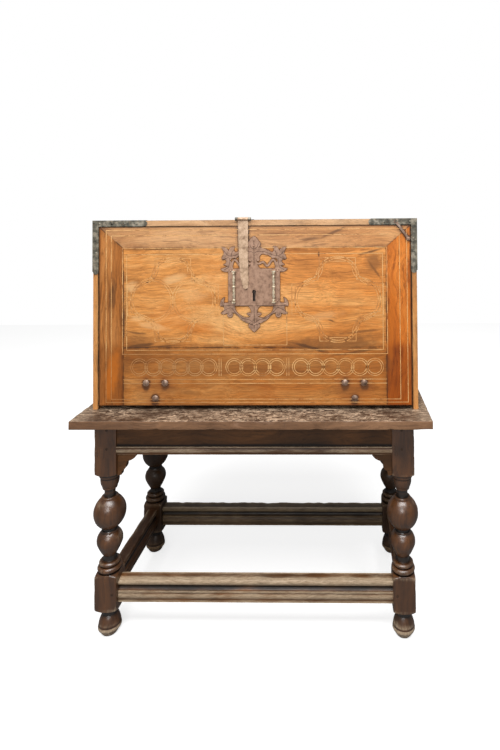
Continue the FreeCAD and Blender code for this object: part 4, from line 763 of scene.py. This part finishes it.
def aged_and_shaded_fall(tree, own, colour):
    """What age has added, with painted shade: a redder tone on the right and a browner one in the
    lowest board, painted contact shade with some dirt round the ironwork and in the gaps, dark
    dirt in the joints, painted gap shade with dirt along the outer edges, rust round each hinge
    stud, and marks."""
    x, _, z = parted(tree, own)
    wide = sums(tree, "ABSOLUTE", x)
    right = between(tree, x, *REDDER)
    colour = blended(tree, right, colour, (1, 0.86, 0.66, 1), 0.7, "MULTIPLY")
    lower = between(tree, z, *BROWNER)
    colour = blended(tree, lower, colour, (0.63, 0.53, 0.39, 1), 0.85, "MULTIPLY")
    # painted contact shade, partly dirt: darker where the ambient occlusion finds little open sky,
    # round the ironwork and at the gaps
    open_sky = step(tree, "AmbientOcclusion", {"Distance": 0.014}, "AO", samples=8)
    colour = blended(tree, between(tree, open_sky, 1, 0.66), colour, (52, 30, 16), 0.9)
    broken = cloud(tree, own, 22, 5, 0.65)
    nearest = from_joints(tree, wide, z)
    line = times(tree, between(tree, nearest, *JOINT_DIRT), between(tree, broken, 0.35, 0.6))
    colour = blended(tree, line, colour, (58, 32, 16), 0.85)
    dirt = times(tree, between(tree, nearest, *JOINT_BROWN), between(tree, broken, 0.42, 0.68))
    colour = blended(tree, dirt, colour, (96, 56, 28), 0.5)
    # painted shade of the gap round the fall, with some dirt: darker within a few millimetres of
    # its outer edges
    ends = less(tree, FALL_TOP, z), less(tree, z, FALL_LOW)
    rim = least(tree, less(tree, FALL_HALF, wide), *ends)
    colour = blended(tree, between(tree, rim, *EDGE_SHADE_AND_DIRT), colour, (70, 40, 22), 0.6)
    ragged = sums(tree, "ADD", from_studs(tree, wide, z), times(tree, broken, 0.02))
    colour = blended(tree, between(tree, ragged, *RUST_HALO), colour, (126, 66, 32), 0.4)
    colour = blended(tree, between(tree, ragged, *RUST_CORE), colour, (62, 38, 26), 0.8)
    ragged = step(tree, "TexNoise", {"Vector": own, "Scale": 30, "Detail": 4}, "Color")
    ragged = vectors(tree, "SUBTRACT", ragged, (0.5, 0.5, 0.5))
    for x_at, up_at, angle, long, wide, strength, tint in FALL_MARKS:
        within = step(tree, "Mapping", {
            "Vector": own, "Location": (x_at * MM, 0, TABLE_HIGH + up_at * MM),
            "Rotation": (0, -math.radians(angle), 0), "Scale": (long * MM, 9, wide * MM),
        }, vector_type="TEXTURE")
        moved = vectors(tree, "ADD", within, ragged)
        away = step(tree, "VectorMath", {0: moved}, "Value", operation="LENGTH")
        colour = blended(tree, between(tree, away, 1.05, 0.35), colour, tint, strength)
    return colour


dress(wood(
    "panel_walnut", "x", ((236, 178, 112), (216, 145, 74), (116, 64, 22)), (0.15, 0.35, 0.62),
    grime=(198, 112, 36), shine=0.36, flames=0.22, streaks=0.4, fleck=0.34, dull=0.5,
    extra=aged_and_shaded_fall,
), "fall_panel")
dress(wood(
    "left_stile_walnut", "z", ((196, 130, 70), (172, 104, 44), (84, 44, 16)), (0.35, 0.2, 0.33),
    grime=(110, 62, 26), shine=0.36, streaks=0.6, fleck=0.24, dull=0.4, extra=aged_and_shaded_fall,
), "fall_stile_left")
dress(wood(
    "right_stile_walnut", "z", ((224, 140, 62), (200, 112, 34), (104, 46, 10)), (0.1, 0.45, 0.23),
    grime=(150, 72, 22), shine=0.36, streaks=0.6, fleck=0.24, extra=aged_and_shaded_fall,
), "fall_stile_right")
dress(wood(
    "top_rail_walnut", "x", ((218, 168, 118), (200, 145, 93), (108, 66, 38)), (0.8, 0.25, 0.18),
    grime=(168, 108, 62), flames=0.4, fleck=0.24, extra=aged_and_shaded_fall,
), "fall_top_rail")

# Stringing.
# Pale boxwood lines under two millimetres wide, let in flush: double frames round the border and
# the panel, a double strapwork medallion on each side, a band of linked double rings, and a
# single line round each drawer front.
LINE_WIDE, PLATE_LINE_WIDE, LINE_LIFT = 1.9 * MM, 1.5 * MM, 0.15 * MM
RINGS_UP, RING_RADII, DRAWER_INSET = 136.5, (27.8, 21.3), 13 * MM
RINGS_X = (
    151, 199, 248, 296, 342, 391, -66, -21, 26, 72, -150, -195, -240, -286, -332, -378,
)
MEDALLIONS, MEDALLION_UP = ((-267, True), (272, False)), 355
SOILED_LEFT, SOILED_LOW = (-0.08, -0.22), (BOARD_JOINT, BOARD_JOINT - 0.02)


def ribbon(path, closed, wide):
    """Both edges of a flat line along a path of (across, up): each point moves half the width
    along the mitre of its two neighbouring directions."""
    path = np.array(path, float)
    if closed:
        before, after = np.roll(path, 1, 0), np.roll(path, -1, 0)
    else:
        before = np.vstack([2 * path[0] - path[1], path[:-1]])
        after = np.vstack([path[1:], 2 * path[-1] - path[-2]])
    first = unit(path - before)
    mitre = unit(first + unit(after - path))
    side = np.stack([-mitre[:, 1], mitre[:, 0]], -1)
    spread = 1 / np.clip((mitre * first).sum(1), 0.5, 1)
    move = side * (spread * wide / 2)[:, None]
    return np.stack([path - move, path + move], 1)


def stringing(name, lines, look, depth, body, slot_name, wide=LINE_WIDE):
    """All the ribbons as one flat mesh at one depth."""
    points, faces, start = [], [], 0
    for path, closed in lines:
        edges = ribbon(path, closed, wide)
        count = len(edges)
        flat = edges.reshape(-1, 2)
        points.append(np.stack([flat[:, 0], np.full(len(flat), depth), flat[:, 1]], -1))
        low = np.arange(count if closed else count - 1)
        high = (low + 1) % count
        faces.append(np.stack([2 * low, 2 * high, 2 * high + 1, 2 * low + 1], -1) + start)
        start += 2 * count
    mesh = bpy.data.meshes.new(name)
    mesh.from_pydata(np.concatenate(points).tolist(), [], np.concatenate(faces).tolist())
    place(in_room(name, mesh), look, body, slot_name)


def on_fall(points):
    """Millimetres across from the middle and up from the table, as metres in the room."""
    return np.array(points, float) * MM + [0, TABLE_HIGH]


def frame_line(left, right, low, high):
    """A rectangle on the fall."""
    return on_fall([(left, low), (right, low), (right, high), (left, high)]), True


def straight(*ends):
    """A straight line on the fall."""
    return on_fall(ends), False


def circle(x, z, radius, t):
    """Points of a circle on the fall at some angles."""
    return on_fall(np.stack([x + radius * np.cos(t), z + radius * np.sin(t)], -1))


def ring(x, z, radius):
    """A whole circle on the fall."""
    return circle(x, z, radius, np.linspace(0, math.tau, 49)[:-1]), True


def cartouche(x, z, inset):
    """A frame with straight sides and hollow corners: each corner is a quarter of an ellipse
    about the point where a plain frame's corner would be, a little lower."""
    half_x, half_z, flat_x, drop_z, side_z = 149, 135, 59, 103, 51
    wide, tall = half_x - flat_x + inset, drop_z - side_z + inset
    t = np.linspace(math.asin(inset / wide), math.pi / 2, 14)
    hollow = np.stack([half_x - wide * np.sin(t), drop_z - tall * np.cos(t)], -1)
    quarter = np.concatenate([hollow, [(flat_x - inset, half_z - inset)]])
    line = [quarter, quarter[::-1] * [-1, 1], quarter * [-1, -1], quarter[::-1] * [1, -1]]
    return on_fall(np.concatenate(line) + [x, z]), True


def lobes(x, z, radius, whole):
    """Four round lobes: arcs that meet on the diagonals. In the left medallion the two side
    lobes are whole rings that cross in the middle."""
    off = 69
    meet = (off + math.sqrt(2 * radius ** 2 - off ** 2)) / 2
    reach = math.atan2(meet, meet - off)
    made = []
    for way_x, way_z in ((1, 0), (0, 1), (-1, 0), (0, -1)):
        centre = x + off * way_x, z + off * way_z
        if whole and way_x:
            made.append(ring(*centre, radius))
        else:
            turn = math.atan2(way_z, way_x) + np.linspace(-reach, reach, 33)
            made.append((circle(*centre, radius, turn), False))
    return made


def boxwood(name, fresh, browned, bare, kept):
    """Pale line inlay that has browned, with pieces lost where dirt fills the groove, most of
    all at the left of the lowest board."""
    made, tree, surface, own = finish(name)
    age = between(tree, cloud(tree, own, 26, 5, 0.6), 0.35, 0.65)
    lost = between(tree, cloud(tree, own, 17, 6, 0.7), kept, kept + 0.1)
    x, _, z = parted(tree, own)
    soiled = times(tree, between(tree, x, *SOILED_LEFT), between(tree, z, *SOILED_LOW))
    soiled = times(tree, soiled, 0.62)
    colour = blended(tree, age, fresh, browned)
    colour = blended(tree, sums(tree, "MAXIMUM", lost, soiled), colour, bare, 0.9)
    fill(tree, surface, {"Base Color": colour, "Roughness": 0.45})
    return made


frames = [
    frame_line(-487, 498, 23, 584), frame_line(-470, 474, 33, 566),
    frame_line(-433, 433, 179, 524), frame_line(-419, 419, 192, 504),
    straight((-430, 97), (430, 97)), straight((-430, 84), (430, 84)),
    straight((-101, 208), (-101, 330)), straight((106, 208), (106, 330)),
    straight((-101, 208), (106, 208)),
]
for x in RINGS_X:
    frames += [ring(x, RINGS_UP, radius) for radius in RING_RADII]
frames += [straight((x, 108), (x, 165)) for x in (-116, -109, 105, 112)]
medallions = []
for x, whole in MEDALLIONS:
    for inset, radius in ((0, 71), (11, 63)):
        medallions.append(cartouche(x, MEDALLION_UP, inset))
        medallions += lobes(x, MEDALLION_UP, radius, whole)
bright_box = boxwood("boxwood_frames", (240, 190, 126), (218, 156, 90), (150, 92, 46), 0.54)
faint_box = boxwood("boxwood_medallions", (236, 180, 114), (226, 158, 88), (190, 122, 62), 0.5)
fall_face = CASE_FRONT - LINE_LIFT
stringing("boxwood_frame_lines", frames, bright_box, fall_face, "fall", "fall_walnut")
stringing("boxwood_medallion_lines", medallions, faint_box, fall_face, "fall", "fall_walnut")
drawer_lines = []
for name in pieces:
    if name.startswith("drawer_") and name[-1].isdigit():
        low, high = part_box(name)
        left, right = low[0] + DRAWER_INSET, high[0] - DRAWER_INSET
        under, over = low[2] + DRAWER_INSET, high[2] - DRAWER_INSET
        drawer_lines.append(([(left, under), (right, under), (right, over), (left, over)], True))
stringing("boxwood_drawer_lines", drawer_lines, bright_box, low[1] - LINE_LIFT,
          "case_and_stand", "drawer_wood")

# Iron.
# The lock plate and its bars, the hasp, the corner mounts, hook, hinges, nails and side handles
# are forged iron: rusted brown sheet on the fall, darker grey-green iron on the corners.


def iron(name, dark, middle, light, rust, metal=0.35, gloss=0.5, grain=70, spotted=0.6):
    """Hand-forged iron: clouds of light and dark skin, spots of rust and hammered unevenness."""
    made, tree, surface, own = finish(name)
    skin = cloud(tree, own, grain, 6, 0.65)
    colour = ramped(tree, skin, (0.3, dark), (0.5, middle), (0.72, light))
    spots = between(tree, cloud(tree, own, grain * 3, 5, 0.7), 0.55, 0.7)
    colour = blended(tree, spots, colour, rust, spotted)
    rough = step(tree, "MapRange", {0: skin, 1: 0.3, 2: 0.7, 3: gloss + 0.12, 4: gloss - 0.08})
    pitted = times(tree, cloud(tree, own, 700, 3), 0.25)
    height = sums(tree, "ADD", cloud(tree, own, 90, 3), pitted)
    bump = step(tree, "Bump", {"Height": height, "Strength": 0.35, "Distance": 0.0015})
    fill(tree, surface, {
        "Base Color": colour, "Metallic": metal, "Roughness": rough, "Normal": bump,
    })
    return made


dress(iron(
    "rusted_sheet_iron", (124, 94, 74), (168, 132, 108), (188, 150, 126), (150, 110, 84),
    metal=0.12, gloss=0.58, spotted=0.4,
), "lock_plate", "fall_nails")
dress(iron(
    "grey_green_iron", (38, 37, 33), (106, 102, 89), (186, 175, 156), (172, 134, 94),
    metal=0.25, grain=60,
), "corner_mount_left", "corner_mount_right", "case_nails", "hasp_top_strap", "hasp_pin")
dress(iron(
    "worn_stud_iron", (84, 62, 48), (148, 120, 102), (198, 176, 158), (124, 84, 60), gloss=0.4,
), "hinge_studs", "corner_hook", "hook_collar")
dress(
    iron("dark_forged_iron", (48, 40, 36), (92, 78, 70), (128, 112, 100), (104, 72, 54)),
    "fall_hinge_straps", "case_hinge_leaves", "hinge_pins", "lock_case", "lock_bolt",
    "handle_left", "handle_right", "handle_eyes", "handle_roses",
)
dress(iron(
    "rubbed_grey_iron", (84, 66, 46), (218, 200, 170), (255, 246, 226), (130, 98, 70),
    metal=0.4, gloss=0.34, grain=110,
), "lock_columns")
hasp_iron = iron(
    "tan_rusted_iron", (134, 104, 80), (196, 164, 134), (224, 192, 162), (172, 130, 98),
    metal=0.15, gloss=0.56,
)
chased_and_shadow_iron = iron(
    "chased_and_shadow_iron", (62, 44, 34), (98, 72, 58), (128, 98, 80), (110, 76, 56), metal=0.2,
)

# the hasp is drawn out wider than the plain node between its eye and its tip: half widths and
# drift to the side at heights above the tip
HASP_UP, HASP_HALF, HASP_DRIFT = np.array([
    (8.5, 30, 65, 125, 228), (8.5, 12.6, 14, 14.9, 17), (8, 5, 3, 1, 0),
]) * MM
NODE_UP, NODE_HALF, NODE_DRIFT = np.array([(8.5, 125.4, 228), (8.5, 11.73, 17), (8, 0.96, 0)]) * MM
SHAPED_LOW, SHAPED_HIGH, CUT_LOW, CUT_GAP = 8.5 * MM, 214 * MM, 9 * MM, 5 * MM
CORE_HALF, ARRIS, HASP_SHARP = 6 * MM, 0.9 * MM, 35

# a copy of the node's mesh is cut across at many heights and moved out to the new widths, and
# its front edges are filed round
mesh = bpy.data.objects["hasp"].data.copy()
low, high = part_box("hasp")
centre = (low[0] + high[0]) / 2
work = bmesh.new()
work.from_mesh(mesh)
for up in np.arange(CUT_LOW, SHAPED_HIGH, CUT_GAP):
    whole = work.verts[:] + work.edges[:] + work.faces[:]
    bmesh.ops.bisect_plane(work, geom=whole, plane_co=(0, 0, low[2] + up), plane_no=(0, 0, 1))
for vertex in work.verts:
    up = vertex.co.z - low[2]
    off = vertex.co.x - centre - np.interp(up, NODE_UP, NODE_DRIFT)
    if abs(off) > CORE_HALF and SHAPED_LOW < up < SHAPED_HIGH:
        wider = np.interp(up, HASP_UP, HASP_HALF) / np.interp(up, NODE_UP, NODE_HALF)
        vertex.co.x = centre + np.interp(up, HASP_UP, HASP_DRIFT) + off * wider
arris = [
    edge for edge in work.edges
    if all(v.co.y < low[1] + 0.05 * MM and v.co.z < low[2] + SHAPED_HIGH for v in edge.verts)
    and len(edge.link_faces) == 2 and edge.calc_face_angle() > 1
]
bmesh.ops.bevel(work, geom=arris, offset=ARRIS, segments=2, affect="EDGES", profile=0.5)
bmesh.ops.recalc_face_normals(work, faces=work.faces)
work.to_mesh(mesh)
work.free()
mesh.set_sharp_from_angle(angle=math.radians(HASP_SHARP))
place(in_room("drawn_hasp", mesh), hasp_iron, "hasp", "hasp_iron", "hasp")

# the smith's chasing on the lock plate: veins of the leaves, and under the square a painted
# shadow line where its lower edge steps down; right half, millimetres across and up from the table
CHASING_AND_SHADOW_LINES = [
    [(0, 548), (0, 500), (0, 466)], [(3, 521), (11, 527), (14, 537)],
    [(3, 508), (9, 513), (15, 512)], [(76, 497), (73, 507), (67, 517)],
    [(15, 511), (33, 512), (60, 501), (76, 497), (88, 502), (99, 515)],
    [(80, 496), (91, 490), (103, 486)], [(79, 492), (80, 474), (84, 460), (99, 452)],
    # (4, 336) to (108, 336) is a painted shadow line along the lower edge of the square
    [(84, 452), (70, 452)], [(4, 336), (56, 336), (108, 336)], [(76, 331), (94, 323), (105, 315)],
    [(73, 328), (58, 310), (40, 296), (16, 290), (3, 281)], [(0, 332), (0, 300), (0, 262)],
    [(4, 276), (12, 274), (17, 280)], [(11, 305), (22, 310)], [(100, 341), (106, 352)],
    [(74, 309), (76, 304), (81, 304), (84, 308), (82, 313)],
]
chasing_and_shadow_lines = [
    straight(*((side * across, height) for across, height in half_line))
    for half_line in CHASING_AND_SHADOW_LINES for side in (-1, 1)
]
plate_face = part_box("lock_plate")[0][1] - LINE_LIFT
stringing("lock_plate_chasing_and_shadow_line", chasing_and_shadow_lines, chased_and_shadow_iron, plate_face, "fall", "plate_iron", PLATE_LINE_WIDE)

# Studio.
# A white floor that keeps a faint shadow, weak light from all round, one large soft lamp in
# front and above, one overhead, and the camera where the photographer stood.
FLOOR_CORNERS = [(-5, -6, 0), (5, -6, 0), (5, 4.5, 0), (-5, 4.5, 0)]
FLOOR_GLOW, SKY_ALL_ROUND = 0.7, 0.2
WHITE, PALE_GREY, GREY = (1, 1, 1, 1), (0.8, 0.8, 0.8, 1), (0.25, 0.25, 0.25, 1)


def seen(tree):
    """1 for light that reaches the camera straight or through glass, 0 for all other light."""
    path = step(tree, "LightPath", out=None).outputs
    return sums(tree, "MAXIMUM", path["Is Camera Ray"], path["Is Transmission Ray"])


# white to the camera, with a faint shadow; plain pale to all other light
floor_look, tree, surface, _ = finish("studio_floor")
tree.nodes.remove(surface)
plain = step(tree, "BsdfDiffuse", {"Color": GREY})
faint = step(tree, "BsdfDiffuse", {"Color": PALE_GREY})
glow = step(tree, "Emission", {"Color": WHITE, "Strength": FLOOR_GLOW})
bright = step(tree, "AddShader", {0: faint, 1: glow})
both = step(tree, "MixShader", {0: seen(tree), 1: plain, 2: bright})
fill(tree, tree.nodes["Material Output"], {"Surface": both})
ground = bpy.data.meshes.new("studio_floor")
ground.from_pydata(FLOOR_CORNERS, [], [(0, 1, 2, 3)])
ground.materials.append(floor_look)
in_room("studio_floor", ground)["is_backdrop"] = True

world = bpy.data.worlds.new("studio")
bpy.context.scene.world = world
world.use_nodes = True
sky = world.node_tree
sky.nodes.clear()
around = step(sky, "Background", {"Color": WHITE, "Strength": SKY_ALL_ROUND})
white = step(sky, "Background", {"Color": WHITE, "Strength": 1})
both = step(sky, "MixShader", {0: seen(sky), 1: around, 2: white})
step(sky, "OutputWorld", {"Surface": both}, None)


def lamp(name, at, toward, wide, high, watts):
    """A soft rectangular lamp that faces a point."""
    data = bpy.data.lights.new(name, "AREA")
    data.shape, data.size, data.size_y, data.energy = "RECTANGLE", wide, high, watts
    made = in_room(name, data)
    made.location = at
    made.rotation_euler = (Vector(toward) - Vector(at)).to_track_quat("-Z", "Y").to_euler()
    made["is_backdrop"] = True


lamp("soft_front", (-0.2, -3.5, 2.1), (0, 0, 0.8), 1.5, 1.1, 38)
lamp("soft_above", (0.1, -1.9, 4.2), (0, 0, 0.6), 3.2, 1.9, 182)

# picture size, focal length and the point straight ahead in pixels; place in metres; degrees
WIDE, HIGH, SENSOR = 500, 750, 36
FOCAL, CENTRE_X, CENTRE_Y = 496, 331.4, 208.5
CAMERA_AT = (0.2823, -1.8049, 1.335)
pitch, roll, yaw = (math.radians(angle) for angle in (1.115, -0.445, -1))
ahead = Vector((math.sin(yaw) * math.cos(pitch), math.cos(yaw) * math.cos(pitch), math.sin(pitch)))
right = ahead.cross(Vector((0, 0, 1))).normalized()
up = right.cross(ahead)
cosine, sine = math.cos(roll), math.sin(roll)
right, up = right * cosine + up * sine, up * cosine - right * sine
lens = bpy.data.cameras.new("camera")
lens.sensor_width = SENSOR
lens.lens = FOCAL / HIGH * SENSOR
lens.shift_x = (WIDE / 2 - CENTRE_X) / HIGH
lens.shift_y = (CENTRE_Y - HIGH / 2) / HIGH
camera = in_room("camera", lens)
turned = Matrix((right, up, -ahead)).transposed()
camera.matrix_world = Matrix.Translation(CAMERA_AT) @ turned.to_4x4()
bpy.context.scene.camera = camera
bpy.context.scene.view_settings.view_transform = "Standard"

low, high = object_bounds()
